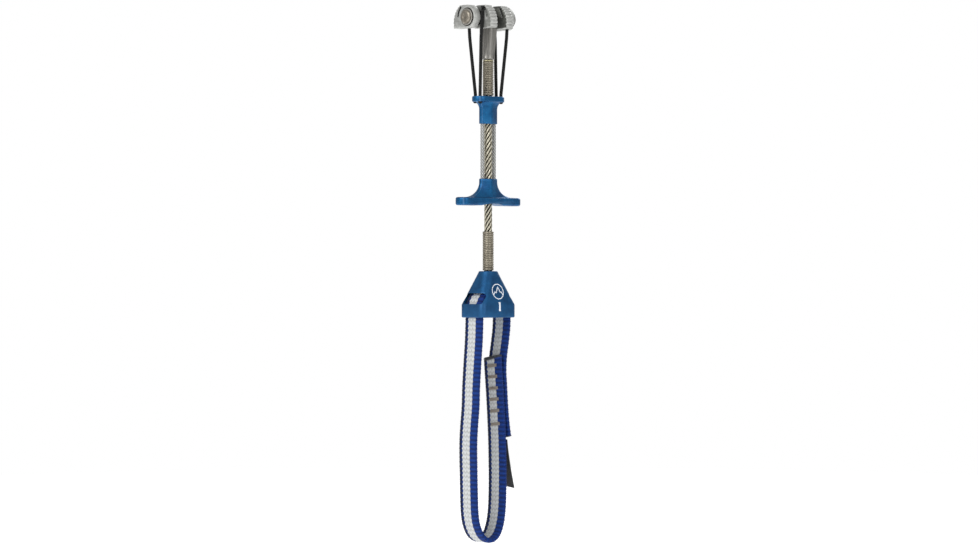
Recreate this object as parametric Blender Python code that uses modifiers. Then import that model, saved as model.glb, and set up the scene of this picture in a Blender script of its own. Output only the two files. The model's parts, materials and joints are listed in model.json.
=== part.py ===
"""Spring loaded camming device: single cable stem, four lobes on one axle, trigger and webbing sling.

Metres, +Z up. The origin is the centre of the lobe axle. +X runs along the axle, +Y is the
direction in which the lobes spread, and the stem hangs down along -Z.
"""
import math

import bmesh
import bpy
from mathutils import Matrix, Vector

# ---------------------------------------------------------------- driving dimensions (metres)
CLEAR = 0.0003             # gap between touching pieces
FINE_CLEAR = 0.00015       # gap between small fitted pieces

# axle and springs
AXLE_RADIUS = 0.0020
WASHER_WALL = 0.0020       # washer radius beyond the axle's
WASHER_THICK = 0.0007
RIVET_WALL = 0.0014        # rivet head radius beyond the axle's
RIVET_HIGH = 0.0011
SPRING_WIRE = 0.0004       # wire radius of a torsion spring
SPRING_TURNS = 4.5
SPRING_POCKET_DEPTH = 0.0014

# lobes
TIP_RADIUS = 0.0110        # axle centre to lobe tip
SPIRAL_RATE = math.tan(math.radians(13.25))   # logarithmic spiral of the camming angle
FLAT_BELOW = 0.0052        # flat lower edge of a lobe under the axle centre
TOP_FLAT = 0.0059          # flat top of a lobe above the axle centre
HEEL_RADIUS = 0.0047
TOOTH_DEPTH = 0.00042
TOOTH_COUNT = 8
INNER_LOBE_WIDE = 0.0046
OUTER_LOBE_WIDE = 0.0044
LOBE_GAP = 0.0018          # between an inner and an outer lobe
SLOT_RADIUS = 0.0068       # cord slot, an arc about the axle
SLOT_WIDE = 0.0013
SLOT_FROM = math.radians(6.0)
SLOT_TO = math.radians(44.0)
LOBE_SWING = math.radians(80.0)

# stem
CABLE_RADIUS = 0.0020
TERMINAL_EYE_WALL = 0.0003    # beside the cable's bore, between the inner lobes
TERMINAL_WALL = 0.00095       # round the cable's bore, at the fitting's end
TERMINAL_EYE_Y = 0.0042
TERMINAL_EYE_Z = 0.0048       # top of the fitting
TERMINAL_NECK = 0.0078        # from the lobes' reach to the round end
CABLE_TOP_Z = -0.0070
RING_THICK = 0.0006
SHEATH_WALL = 0.00040
UPPER_SHEATH_LONG = 0.0164
LOWER_SHEATH_LONG = 0.0189
LOWER_CABLE_SHOWN = 0.0125    # from the trigger's bottom to the lower sheath

# trigger set
COLLAR_FLANGE_THICK = 0.0027
COLLAR_FLANGE_HALF = 0.0092
COLLAR_FILLET = 0.0036
COLLAR_LONG = 0.0133
LINK_SHOWN = 0.0266           # side cables between collar and trigger
LINK_RADIUS = 0.00095
LINK_SOCKET = 0.0040
LINK_WALL = 0.00045           # metal outside a side cable's socket
TUBE_WALL = 0.00045           # metal outside the cable's bore
TRIGGER_TUBE_LONG = 0.0015
TRIGGER_HIGH = 0.0130
WING_THICK = 0.0039
WING_HALF = 0.0200
WING_HALF_Y = 0.0040
WING_ARCH = 0.0009            # rise of the shallow arch under the wings
WING_ARCH_HALF = 0.0075
FLARE_SPREAD = 0.0085
CORD_RADIUS = 0.0007
CORD_HOLE_X = 0.0069
CORD_HOLE_Y = 0.0017
CORD_KNEE_Z = -0.0100
CORD_ANGLE = math.radians(43.0)   # place of the cord's knot on its lobe
KNOT_RADIUS = 0.00075
CRIMP_RADIUS = 0.00105
CRIMP_HIGH = 0.0013
CRIMP_DEEP = 0.0005        # of that, inside the collar

# thumb block
BLOCK_WALL_X = 0.0012      # metal outside the webbing, along X
BLOCK_WALL_Y = 0.0022      # metal beside the webbing, along Y
BLOCK_BASE_HIGH = 0.0062
BLOCK_NECK = 0.0034        # metal above the end stop
BLOCK_CORNER = 0.0030
BLOCK_TOP_WALL = 0.0013
WINDOW_LOW = 0.0066        # window sill above the block's bottom
WINDOW_TALL = 0.0052
WINDOW_SPARE = 0.0030      # window width beyond the webbing's
END_STOP_WALL = 0.0010
END_STOP_HIGH = 0.0044

# sling
WEB_WIDE = 0.0110
WEB_THICK = 0.0020
WEB_RADIUS = 0.0090        # middle of the webbing where it turns over the block's bar
WEB_TURN_ABOVE = 0.0038    # centre of that turn above the block's bottom
TAG_WIDE = 0.0100
TAG_THICK = 0.0005

# the sling's route in the plane y = 0, as (x, height above the block's bottom): the inner sewn end,
# down the right strand, round the bottom of the loop and up the left strand
SLING_ROUTE = [
    (0.0030, -0.0187), (0.0034, -0.0245), (0.0039, -0.0300), (0.0046, -0.0380),
    (0.0053, -0.0480), (0.0059, -0.0590), (0.0062, -0.0700), (0.0062, -0.0820),
    (0.0058, -0.0920), (0.0046, -0.0995), (0.0019, -0.1053), (-0.0027, -0.1077),
    (-0.0075, -0.1057), (-0.0106, -0.1010), (-0.0121, -0.0950), (-0.0126, -0.0860),
    (-0.0129, -0.0740), (-0.0131, -0.0620), (-0.0126, -0.0530), (-0.0116, -0.0430),
    (-0.0112, -0.0330), (-0.0102, -0.0200), (-0.0094, -0.0100), (-0.0090, 0.0008),
]
# the outer layer, down the right strand to its sewn end
SLING_OUTER = [
    (0.0090, 0.0008), (0.0088, -0.0050), (0.0078, -0.0120), (0.0066, -0.0190),
    (0.0062, -0.0260), (0.0067, -0.0330), (0.0073, -0.0420), (0.0082, -0.0505), (0.0094, -0.0580),
]
TAG_ROUTE = [
    (0.0079, -0.0592), (0.0086, -0.0640), (0.0098, -0.0700), (0.0112, -0.0760), (0.0128, -0.0820),
]

# ---------------------------------------------------------------- worked out from them
LOBE_BORE = AXLE_RADIUS + FINE_CLEAR
WASHER_RADIUS = AXLE_RADIUS + WASHER_WALL
RIVET_RADIUS = AXLE_RADIUS + RIVET_WALL
SPRING_MEAN = AXLE_RADIUS + SPRING_WIRE + 0.0005
SPRING_POCKET_RADIUS = SPRING_MEAN + SPRING_WIRE + 2 * CLEAR
STEM_BORE = CABLE_RADIUS + CLEAR
TERMINAL_EYE_X = STEM_BORE + TERMINAL_EYE_WALL
TERMINAL_END_RADIUS = STEM_BORE + TERMINAL_WALL
TERMINAL_FLAT_Z = -TIP_RADIUS - 4 * CLEAR
TERMINAL_END_Z = TERMINAL_FLAT_Z - TERMINAL_NECK
SHEATH_RADIUS = STEM_BORE + SHEATH_WALL
INNER_LOBE_X = TERMINAL_EYE_X + CLEAR
OUTER_LOBE_X = INNER_LOBE_X + INNER_LOBE_WIDE + LOBE_GAP
LOBES_END_X = OUTER_LOBE_X + OUTER_LOBE_WIDE
GAP_X = INNER_LOBE_X + INNER_LOBE_WIDE + LOBE_GAP / 2
RING_TOP_Z = TERMINAL_END_Z - CLEAR
UPPER_SHEATH_TOP_Z = RING_TOP_Z - RING_THICK - FINE_CLEAR
COLLAR_TOP_Z = UPPER_SHEATH_TOP_Z - UPPER_SHEATH_LONG - CLEAR - FINE_CLEAR
COLLAR_BOTTOM_Z = COLLAR_TOP_Z - COLLAR_LONG
TRIGGER_TOP_Z = COLLAR_BOTTOM_Z - LINK_SHOWN
TRIGGER_BOTTOM_Z = TRIGGER_TOP_Z - TRIGGER_HIGH
WING_TOP_Z = TRIGGER_BOTTOM_Z + WING_THICK
LOWER_SHEATH_TOP_Z = TRIGGER_BOTTOM_Z - LOWER_CABLE_SHOWN
BLOCK_TOP_Z = LOWER_SHEATH_TOP_Z - LOWER_SHEATH_LONG - CLEAR
LINK_X = STEM_BORE + TUBE_WALL + FINE_CLEAR + LINK_RADIUS
TUBE_END_RADIUS = LINK_RADIUS + FINE_CLEAR + LINK_WALL
TUBE_MID_RADIUS = STEM_BORE + TUBE_WALL
CORD_TRAVEL = SLOT_RADIUS * (math.sin(CORD_ANGLE) - math.sin(CORD_ANGLE - LOBE_SWING))
CORD_TOP_Y = SLOT_RADIUS * math.cos(CORD_ANGLE) + FINE_CLEAR
CORD_TOP_Z = SLOT_RADIUS * math.sin(CORD_ANGLE) - KNOT_RADIUS - CLEAR
END_STOP_RADIUS = CABLE_RADIUS + END_STOP_WALL
CHANNEL_TOP = WEB_TURN_ABOVE + WEB_RADIUS + WEB_THICK / 2 + CLEAR
BLOCK_HIGH = CHANNEL_TOP + CLEAR + END_STOP_HIGH + CLEAR + BLOCK_NECK
BLOCK_BOTTOM_Z = BLOCK_TOP_Z - BLOCK_HIGH
BLOCK_HALF_X = WEB_RADIUS + WEB_THICK / 2 + CLEAR + BLOCK_WALL_X
BLOCK_HALF_Y = WEB_WIDE / 2 + 2 * CLEAR + BLOCK_WALL_Y
BLOCK_TOP_RADIUS = END_STOP_RADIUS + CLEAR + BLOCK_TOP_WALL
WEB_TURN_Z = BLOCK_BOTTOM_Z + WEB_TURN_ABOVE
END_STOP_Z = BLOCK_BOTTOM_Z + CHANNEL_TOP + CLEAR


# ---------------------------------------------------------------- helpers
def clear_scene():
    for obj in list(bpy.data.objects):
        bpy.data.objects.remove(obj, do_unlink=True)


def collection(name):
    made = bpy.data.collections.new(name)
    bpy.context.scene.collection.children.link(made)
    return made


def material(name, colour, roughness, metallic):
    made = bpy.data.materials.new(name)
    made.use_nodes = True
    shader = made.node_tree.nodes["Principled BSDF"]
    shader.inputs["Base Color"].default_value = (*colour, 1.0)
    shader.inputs["Roughness"].default_value = roughness
    shader.inputs["Metallic"].default_value = metallic
    return made


def add(name, mesh, mat, where=None):
    obj = bpy.data.objects.new(name, mesh)
    (where or PARTS).objects.link(obj)
    mesh.materials.clear()
    if mat:
        mesh.materials.append(mat)
    return obj


def smooth(obj, angle=35.0):
    obj.data.shade_smooth()
    obj.data.set_sharp_from_angle(angle=math.radians(angle))


def from_bmesh(name, bm, mat, where=None):
    bmesh.ops.recalc_face_normals(bm, faces=bm.faces)
    mesh = bpy.data.meshes.new(name)
    bm.to_mesh(mesh)
    bm.free()
    obj = add(name, mesh, mat, where)
    smooth(obj)
    return obj


def lathe(name, profile, mat, steps=32, closed=False, where=None):
    """Turn a profile of (radius, z), running down its outer side, about Z."""
    mesh = bpy.data.meshes.new(name)
    count = len(profile)
    edges = [(i, i + 1) for i in range(count - 1)]
    if closed:
        edges.append((count - 1, 0))
    mesh.from_pydata([(r, 0.0, z) for r, z in profile], edges, [])
    obj = add(name, mesh, mat, where)
    screw = obj.modifiers.new("turn", "SCREW")
    screw.axis = "Z"
    screw.steps = steps
    screw.render_steps = steps
    screw.use_merge_vertices = True
    screw.merge_threshold = 0.00001
    screw.use_smooth_shade = True
    return obj


def loft(name, rings, mat, where=None):
    """Close a stack of matching rings into one body."""
    bm = bmesh.new()
    rows = [[bm.verts.new(p) for p in ring] for ring in rings]
    for low, high in zip(rows, rows[1:]):
        for i in range(len(low)):
            j = (i + 1) % len(low)
            bm.faces.new((low[i], low[j], high[j], high[i]))
    bm.faces.new(rows[0])
    bm.faces.new(rows[-1])
    return from_bmesh(name, bm, mat, where)


def prism(name, outline, axis, low, high, mat, where=None):
    """Extrude a closed outline of (a, b) along an axis: X takes (y, z), Y takes (x, z), Z takes (x, y)."""
    place = {
        "X": lambda a, b, t: (t, a, b),
        "Y": lambda a, b, t: (a, t, b),
        "Z": lambda a, b, t: (a, b, t),
    }[axis]
    rings = [[place(a, b, t) for a, b in outline] for t in (low, high)]
    return loft(name, rings, mat, where)


def oblong(end_x, end_radius, mid_radius, z, steps=44):
    """A ring round three circles in a row: one in the middle and one at each end, at height z."""
    ring = []
    for k in range(steps):
        a = 2 * math.pi * (k + 0.5) / steps
        c, s = math.cos(a), math.sin(a)
        reach_end = end_x * abs(c) + end_radius
        if reach_end > mid_radius:
            ring.append((math.copysign(end_x, c) + end_radius * c, end_radius * s, z))
        else:
            ring.append((mid_radius * c, mid_radius * s, z))
    return ring


def rounded_box_ring(half_x, half_y, corner, z, arc_steps=6):
    ring = []
    for quarter, (sx, sy) in enumerate([(1, 1), (-1, 1), (-1, -1), (1, -1)]):
        for k in range(arc_steps + 1):
            a = math.pi / 2 * (quarter + k / arc_steps)
            ring.append((
                sx * (half_x - corner) + corner * math.cos(a),
                sy * (half_y - corner) + corner * math.sin(a),
                z,
            ))
    return ring


def cutter_cylinder(radius, axis, centre, length, steps=24):
    bm = bmesh.new()
    bmesh.ops.create_cone(bm, cap_ends=True, segments=steps, radius1=radius, radius2=radius, depth=length)
    turn = {
        "X": Matrix.Rotation(math.pi / 2, 4, "Y"),
        "Y": Matrix.Rotation(math.pi / 2, 4, "X"),
        "Z": Matrix.Identity(4),
    }[axis]
    bmesh.ops.transform(bm, matrix=Matrix.Translation(centre) @ turn, verts=bm.verts)
    return from_bmesh("cutter", bm, None, CUTTERS)


def boolean(obj, other, operation="DIFFERENCE"):
    other.hide_render = True
    other.display_type = "WIRE"
    cut = obj.modifiers.new("boolean", "BOOLEAN")
    cut.operation = operation
    cut.solver = "EXACT"
    cut.object = other


def catmull(points, per_span):
    """A smooth curve through 2-D points."""
    ends = [points[0]] + list(points) + [points[-1]]
    out = []
    for i in range(1, len(ends) - 2):
        p0, p1, p2, p3 = (Vector(ends[i + k]) for k in (-1, 0, 1, 2))
        for k in range(per_span):
            t = k / per_span
            out.append(0.5 * (
                2 * p1 + (p2 - p0) * t + (2 * p0 - 5 * p1 + 4 * p2 - p3) * t * t
                + (3 * p1 - p0 - 3 * p2 + p3) * t * t * t
            ))
    out.append(Vector(points[-1]))
    return out


def ribbon_outline(line, thick):
    """The outline of a strip of even thickness along a line."""
    left, right = [], []
    for i, p in enumerate(line):
        along = (line[min(i + 1, len(line) - 1)] - line[max(i - 1, 0)]).normalized()
        side = Vector((-along.y, along.x)) * thick / 2
        left.append(p + side)
        right.append(p - side)
    return [tuple(p) for p in left + right[::-1]]


def wire(name, points, radius, mat, bevel_resolution=2):
    """A round wire along a line, as a curve with filled caps."""
    curve = bpy.data.curves.new(name, "CURVE")
    curve.dimensions = "3D"
    curve.bevel_depth = radius
    curve.bevel_resolution = bevel_resolution
    curve.use_fill_caps = True
    spline = curve.splines.new("POLY")
    spline.points.add(len(points) - 1)
    for point, place in zip(spline.points, points):
        point.co = (*place, 1.0)
    curve.materials.append(mat)
    obj = bpy.data.objects.new(name, curve)
    PARTS.objects.link(obj)
    return obj


# ---------------------------------------------------------------- lobes
def lobe_outline():
    """(y, z) outline of a lobe that spreads towards +Y: a toothed logarithmic spiral and a heel."""
    tip_angle = -math.asin(FLAT_BELOW / TIP_RADIUS)
    top_angle = math.radians(50.0)
    steps = TOOTH_COUNT * 4
    outline = []
    for k in range(steps + 1):
        share = k / steps
        angle = tip_angle + (top_angle - tip_angle) * share
        valley = 1.0 - abs(math.sin(math.pi * TOOTH_COUNT * share))
        spiral = TIP_RADIUS * math.exp(-(angle - tip_angle) * SPIRAL_RATE)
        radius = spiral - (TOOTH_DEPTH * valley if 0 < k else 0.0)
        outline.append((radius * math.cos(angle), radius * math.sin(angle)))
    outline.append((0.0036, TOP_FLAT))
    outline.append((0.0004, TOP_FLAT))
    for k in range(1, 7):
        angle = math.radians(90 + 10 * k)
        blend = k / 6
        radius = TOP_FLAT * (1 - blend) + HEEL_RADIUS * blend
        outline.append((radius * math.cos(angle), radius * math.sin(angle)))
    for k in range(1, 9):
        angle = math.radians(150 + 9 * k)
        outline.append((HEEL_RADIUS * math.cos(angle), HEEL_RADIUS * math.sin(angle)))
    outline.append((-0.0024, -FLAT_BELOW + 0.0003))
    outline.append((-0.0016, -FLAT_BELOW))
    return outline


def arc_band(radius, wide, start, end, steps=10):
    """(y, z) outline of an arc-shaped slot with round ends about the axle."""
    outline = []
    half = wide / 2
    for k in range(steps + 1):
        a = start + (end - start) * k / steps
        outline.append(((radius + half) * math.cos(a), (radius + half) * math.sin(a)))
    centre = (radius * math.cos(end), radius * math.sin(end))
    for k in range(1, 5):
        a = end + math.pi * k / 5
        outline.append((centre[0] + half * math.cos(a), centre[1] + half * math.sin(a)))
    for k in range(steps + 1):
        a = end + (start - end) * k / steps
        outline.append(((radius - half) * math.cos(a), (radius - half) * math.sin(a)))
    centre = (radius * math.cos(start), radius * math.sin(start))
    for k in range(1, 5):
        a = start + math.pi + math.pi * k / 5
        outline.append((centre[0] + half * math.cos(a), centre[1] + half * math.sin(a)))
    return outline


def facing(outline, side):
    """Mirror an outline so that it spreads towards side * Y."""
    turned = [(side * a, b) for a, b in outline]
    return turned if side > 0 else turned[::-1]


def lobe(name, low_x, high_x, side, pocket_x):
    """One lobe from low_x to high_x, spreading towards side * Y, with its spring pocket at pocket_x."""
    obj = prism(name, facing(lobe_outline(), side), "X", low_x, high_x, LOBE_METAL)
    middle = (low_x + high_x) / 2
    boolean(obj, cutter_cylinder(LOBE_BORE, "X", (middle, 0, 0), 2 * (high_x - low_x)))
    pocket = cutter_cylinder(SPRING_POCKET_RADIUS, "X", (pocket_x, 0, 0), 2 * SPRING_POCKET_DEPTH)
    boolean(obj, pocket)
    slot = arc_band(SLOT_RADIUS, SLOT_WIDE, SLOT_FROM, SLOT_TO)
    extra = 0.001
    boolean(obj, prism("cutter", facing(slot, side), "X", low_x - extra, high_x + extra, None, CUTTERS))
    return obj


def cord_knot(name, low_x, high_x, side, gap_side):
    """The cord's end: it fills the lobe's slot and has its knot in the gap beside the lobe."""
    band = arc_band(
        SLOT_RADIUS, SLOT_WIDE - 2 * FINE_CLEAR,
        SLOT_FROM + math.radians(2.0), SLOT_TO - math.radians(2.0), steps=6,
    )
    obj = prism(name, facing(band, side), "X", low_x + CLEAR, high_x - CLEAR, CORD_BLACK)
    knot_from = (high_x if gap_side > 0 else low_x) - gap_side * 0.001
    knot_to = (high_x if gap_side > 0 else low_x) + gap_side * (LOBE_GAP - 2 * CLEAR)
    centre_y = side * SLOT_RADIUS * math.cos(CORD_ANGLE)
    centre_z = SLOT_RADIUS * math.sin(CORD_ANGLE)
    middle = ((knot_from + knot_to) / 2, centre_y, centre_z)
    stalk = cutter_cylinder(SLOT_WIDE / 2 - 2 * FINE_CLEAR, "X", middle, abs(knot_to - knot_from), 12)
    boolean(obj, stalk, "UNION")
    face_x = high_x if gap_side > 0 else low_x
    head_middle = face_x + gap_side * (LOBE_GAP / 2)
    head = cutter_cylinder(
        KNOT_RADIUS, "X", (head_middle, centre_y, centre_z), LOBE_GAP - 4 * FINE_CLEAR, 14
    )
    boolean(obj, head, "UNION")
    return obj


def make_lobes():
    for side_name, sx in (("left", -1), ("right", 1)):
        inner = sorted((sx * INNER_LOBE_X, sx * (INNER_LOBE_X + INNER_LOBE_WIDE)))
        outer = sorted((sx * OUTER_LOBE_X, sx * LOBES_END_X))
        lobe(f"cam_lobe_inner_{side_name}", *inner, -1, sx * (INNER_LOBE_X + INNER_LOBE_WIDE))
        lobe(f"cam_lobe_outer_{side_name}", *outer, 1, sx * OUTER_LOBE_X)
        cord_knot(f"cord_end_inner_{side_name}", *inner, -1, sx)
        cord_knot(f"cord_end_outer_{side_name}", *outer, 1, -sx)


# ---------------------------------------------------------------- axle and springs
def make_axle():
    washer_from = LOBES_END_X + FINE_CLEAR
    head_from = washer_from + WASHER_THICK + FINE_CLEAR
    head_to = head_from + RIVET_HIGH
    dome = [
        (RIVET_RADIUS * math.cos(a), head_from + 0.35 * RIVET_HIGH + 0.65 * RIVET_HIGH * math.sin(a))
        for a in (math.radians(d) for d in (0, 25, 50, 72))
    ]
    top = [(0.0, head_to)] + dome[::-1] + [(RIVET_RADIUS, head_from), (AXLE_RADIUS, head_from)]
    profile = top + [(r, -z) for r, z in top[::-1]]
    axle = lathe("axle_rivet", profile, AXLE_STEEL, 28)
    axle.rotation_euler = (0, math.pi / 2, 0)
    bore = AXLE_RADIUS + FINE_CLEAR
    for side_name, sx in (("left", -1), ("right", 1)):
        ring = [
            (bore, WASHER_THICK), (WASHER_RADIUS, WASHER_THICK), (WASHER_RADIUS, 0.0), (bore, 0.0),
        ]
        washer = lathe(f"axle_washer_{side_name}", ring, AXLE_STEEL, 28, closed=True)
        washer.rotation_euler = (0, sx * math.pi / 2, 0)
        washer.location = (sx * washer_from, 0, 0)


def make_springs():
    """Torsion springs round the axle, one between each pair of lobes, with short legs at the top."""
    half = LOBE_GAP / 2 + SPRING_POCKET_DEPTH - SPRING_WIRE - FINE_CLEAR
    steps = 14
    count = int(SPRING_TURNS * steps)
    for side_name, sx in (("left", -1), ("right", 1)):
        points = []
        for k in range(count + 1):
            turn = 2 * math.pi * k / steps
            along = -half + 2 * half * k / count
            points.append((
                sx * (GAP_X + along), SPRING_MEAN * math.sin(turn), -SPRING_MEAN * math.cos(turn),
            ))
        wire(f"torsion_spring_{side_name}", points, SPRING_WIRE, SPRING_STEEL, 1)


# ---------------------------------------------------------------- stem
def make_terminal():
    """The swaged fitting: a flat eye between the inner lobes that runs down into a round socket."""
    rings = []
    round_top = TERMINAL_EYE_Y
    for k in range(7):
        a = math.radians(78 - 13 * k)
        z = (TERMINAL_EYE_Z - round_top) + round_top * math.sin(a)
        rings.append(terminal_ring_at(round_top * math.cos(a), TERMINAL_EYE_X, z))
    rings.append(terminal_ring_at(TERMINAL_EYE_Y, TERMINAL_EYE_X, TERMINAL_FLAT_Z * 0.5))
    span = TERMINAL_END_Z - TERMINAL_FLAT_Z * 0.66
    for share in (0.0, 0.2, 0.4, 0.6, 0.8, 1.0):
        ease = math.sin(share * math.pi / 2)
        half_y = TERMINAL_EYE_Y * (1 - ease) + TERMINAL_END_RADIUS * ease
        ease = share ** 3
        half_x = TERMINAL_EYE_X * (1 - ease) + TERMINAL_END_RADIUS * ease
        z = TERMINAL_FLAT_Z * 0.66 + span * share
        rings.append(terminal_ring_at(half_y, half_x, z, 0.4 + 0.6 * share ** 1.5))
    obj = loft("stem_terminal", rings[::-1], TERMINAL_STEEL)
    boolean(obj, cutter_cylinder(AXLE_RADIUS + FINE_CLEAR, "X", (0, 0, 0), 0.02))
    deep = abs(TERMINAL_END_Z - CABLE_TOP_Z) + CLEAR
    middle = (0, 0, TERMINAL_END_Z - 0.001 + (deep + 0.001) / 2)
    boolean(obj, cutter_cylinder(STEM_BORE, "Z", middle, deep + 0.001))
    return obj


def terminal_ring_at(half_y, half_x, z, power=0.4, arc_steps=36):
    """A superellipse ring: boxy at a low power, round at 1."""
    ring = []
    for k in range(arc_steps):
        a = 2 * math.pi * (k + 0.5) / arc_steps
        c, s = math.cos(a), math.sin(a)
        ring.append((
            half_x * math.copysign(abs(c) ** power, c), half_y * math.copysign(abs(s) ** power, s), z,
        ))
    return ring


def sleeve(name, radius, bore, top_z, long, mat, chamfer=0.0002):
    profile = [
        (bore, top_z), (radius - chamfer, top_z), (radius, top_z - chamfer),
        (radius, top_z - long + chamfer), (radius - chamfer, top_z - long), (bore, top_z - long),
    ]
    return lathe(name, profile, mat, 24, closed=True)


def make_stem():
    make_terminal()
    ring_radius = TERMINAL_END_RADIUS - 2 * CLEAR
    sleeve("terminal_ring", ring_radius, STEM_BORE, RING_TOP_Z, RING_THICK, BRASS, 0.0001)
    for name, top, long in (
        ("upper_coil_sheath", UPPER_SHEATH_TOP_Z, UPPER_SHEATH_LONG),
        ("lower_coil_sheath", LOWER_SHEATH_TOP_Z, LOWER_SHEATH_LONG),
    ):
        sleeve(name, SHEATH_RADIUS, STEM_BORE, top, long, SHEATH_STEEL)
    profile = [
        (0.0, CABLE_TOP_Z), (CABLE_RADIUS, CABLE_TOP_Z), (CABLE_RADIUS, END_STOP_Z), (0.0, END_STOP_Z),
    ]
    lathe("stem_cable", profile, CABLE_STEEL, 24)
    sleeve(
        "cable_end_stop", END_STOP_RADIUS, CABLE_RADIUS + FINE_CLEAR,
        END_STOP_Z + END_STOP_HIGH, END_STOP_HIGH, TERMINAL_STEEL,
    )


# ---------------------------------------------------------------- trigger
def cut_stem_and_link_holes(obj, top_z, bottom_z, socket_from, socket_to):
    middle = (top_z + bottom_z) / 2
    boolean(obj, cutter_cylinder(STEM_BORE, "Z", (0, 0, middle), abs(top_z - bottom_z) + 0.004))
    for sx in (-1, 1):
        centre = (sx * LINK_X, 0, (socket_from + socket_to) / 2)
        boolean(obj, cutter_cylinder(LINK_RADIUS + FINE_CLEAR, "Z", centre, abs(socket_from - socket_to), 16))


def make_collar():
    flange_bottom = COLLAR_TOP_Z - COLLAR_FLANGE_THICK
    edge = 0.0004
    end_x = COLLAR_FLANGE_HALF - WING_HALF_Y
    rings = [
        oblong(end_x, WING_HALF_Y - edge, WING_HALF_Y - edge, COLLAR_TOP_Z),
        oblong(end_x, WING_HALF_Y, WING_HALF_Y, COLLAR_TOP_Z - edge),
        oblong(end_x, WING_HALF_Y, WING_HALF_Y, flange_bottom + edge),
        oblong(end_x, WING_HALF_Y - edge, WING_HALF_Y - edge, flange_bottom),
    ]
    steps = 5
    for k in range(steps + 1):
        a = math.pi / 2 * k / steps
        spread = COLLAR_FILLET * (1 - math.sin(a))
        drop = COLLAR_FILLET * (1 - math.cos(a))
        rings.append(oblong(
            LINK_X + spread * 0.55, TUBE_END_RADIUS + spread * 0.36, TUBE_MID_RADIUS + spread * 0.25,
            flange_bottom - 0.00005 - drop,
        ))
    rings += [
        oblong(LINK_X, TUBE_END_RADIUS, TUBE_MID_RADIUS, COLLAR_BOTTOM_Z + edge / 2),
        oblong(LINK_X, TUBE_END_RADIUS - edge / 2, TUBE_MID_RADIUS - edge / 2, COLLAR_BOTTOM_Z),
    ]
    obj = loft("trigger_collar", rings[::-1], BLUE_METAL)
    cut_stem_and_link_holes(
        obj, COLLAR_TOP_Z, COLLAR_BOTTOM_Z, COLLAR_BOTTOM_Z + LINK_SOCKET, COLLAR_BOTTOM_Z - 0.002
    )
    for sx in (-1, 1):
        for sy in (-1, 1):
            place = (sx * CORD_HOLE_X, sy * CORD_HOLE_Y, COLLAR_TOP_Z)
            boolean(obj, cutter_cylinder(CORD_RADIUS + FINE_CLEAR, "Z", place, 0.02, 12))
            recess = CRIMP_HIGH + CRIMP_DEEP
            place = (sx * CORD_HOLE_X, sy * CORD_HOLE_Y, flange_bottom + CRIMP_DEEP + FINE_CLEAR - recess / 2)
            boolean(obj, cutter_cylinder(CRIMP_RADIUS + FINE_CLEAR, "Z", place, recess, 14))


def make_trigger_bar():
    edge = 0.0008
    flare_top = TRIGGER_TOP_Z - TRIGGER_TUBE_LONG
    flare_high = flare_top - WING_TOP_Z
    rings = [
        oblong(LINK_X, TUBE_END_RADIUS - edge / 4, TUBE_MID_RADIUS - edge / 4, TRIGGER_TOP_Z),
        oblong(LINK_X, TUBE_END_RADIUS, TUBE_MID_RADIUS, TRIGGER_TOP_Z - edge / 4),
    ]
    steps = 7
    for k in range(steps + 1):
        a = math.pi / 2 * k / steps
        spread = 1 - math.cos(a)
        rings.append(oblong(
            LINK_X + FLARE_SPREAD * spread, TUBE_END_RADIUS + 0.0012 * spread,
            TUBE_MID_RADIUS + 0.0004 * spread, flare_top - flare_high * math.sin(a),
        ))
    end_x = WING_HALF - WING_HALF_Y
    for inset, z in (
        (edge, WING_TOP_Z), (edge * 0.3, WING_TOP_Z - edge * 0.3), (0.0, WING_TOP_Z - edge),
        (0.0, TRIGGER_BOTTOM_Z + edge), (edge * 0.3, TRIGGER_BOTTOM_Z + edge * 0.3), (edge, TRIGGER_BOTTOM_Z),
    ):
        rings.append(oblong(end_x, WING_HALF_Y - inset, WING_HALF_Y - inset, z))
    obj = loft("trigger_bar", rings[::-1], BLUE_METAL)
    arch_radius = (WING_ARCH_HALF ** 2 + WING_ARCH ** 2) / (2 * WING_ARCH)
    centre = (0, 0, TRIGGER_BOTTOM_Z + WING_ARCH - arch_radius)
    boolean(obj, cutter_cylinder(arch_radius, "Y", centre, 0.02, 96))
    cut_stem_and_link_holes(
        obj, TRIGGER_TOP_Z, TRIGGER_BOTTOM_Z, TRIGGER_TOP_Z + 0.002, TRIGGER_TOP_Z - LINK_SOCKET
    )


def make_links():
    top = COLLAR_BOTTOM_Z + LINK_SOCKET - CLEAR
    bottom = TRIGGER_TOP_Z - LINK_SOCKET + CLEAR
    for side_name, sx in (("left", -1), ("right", 1)):
        profile = [(0.0, top), (LINK_RADIUS, top), (LINK_RADIUS, bottom), (0.0, bottom)]
        rod = lathe(f"link_cable_{side_name}", profile, CABLE_STEEL, 14)
        rod.location = (sx * LINK_X, 0, 0)


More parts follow.
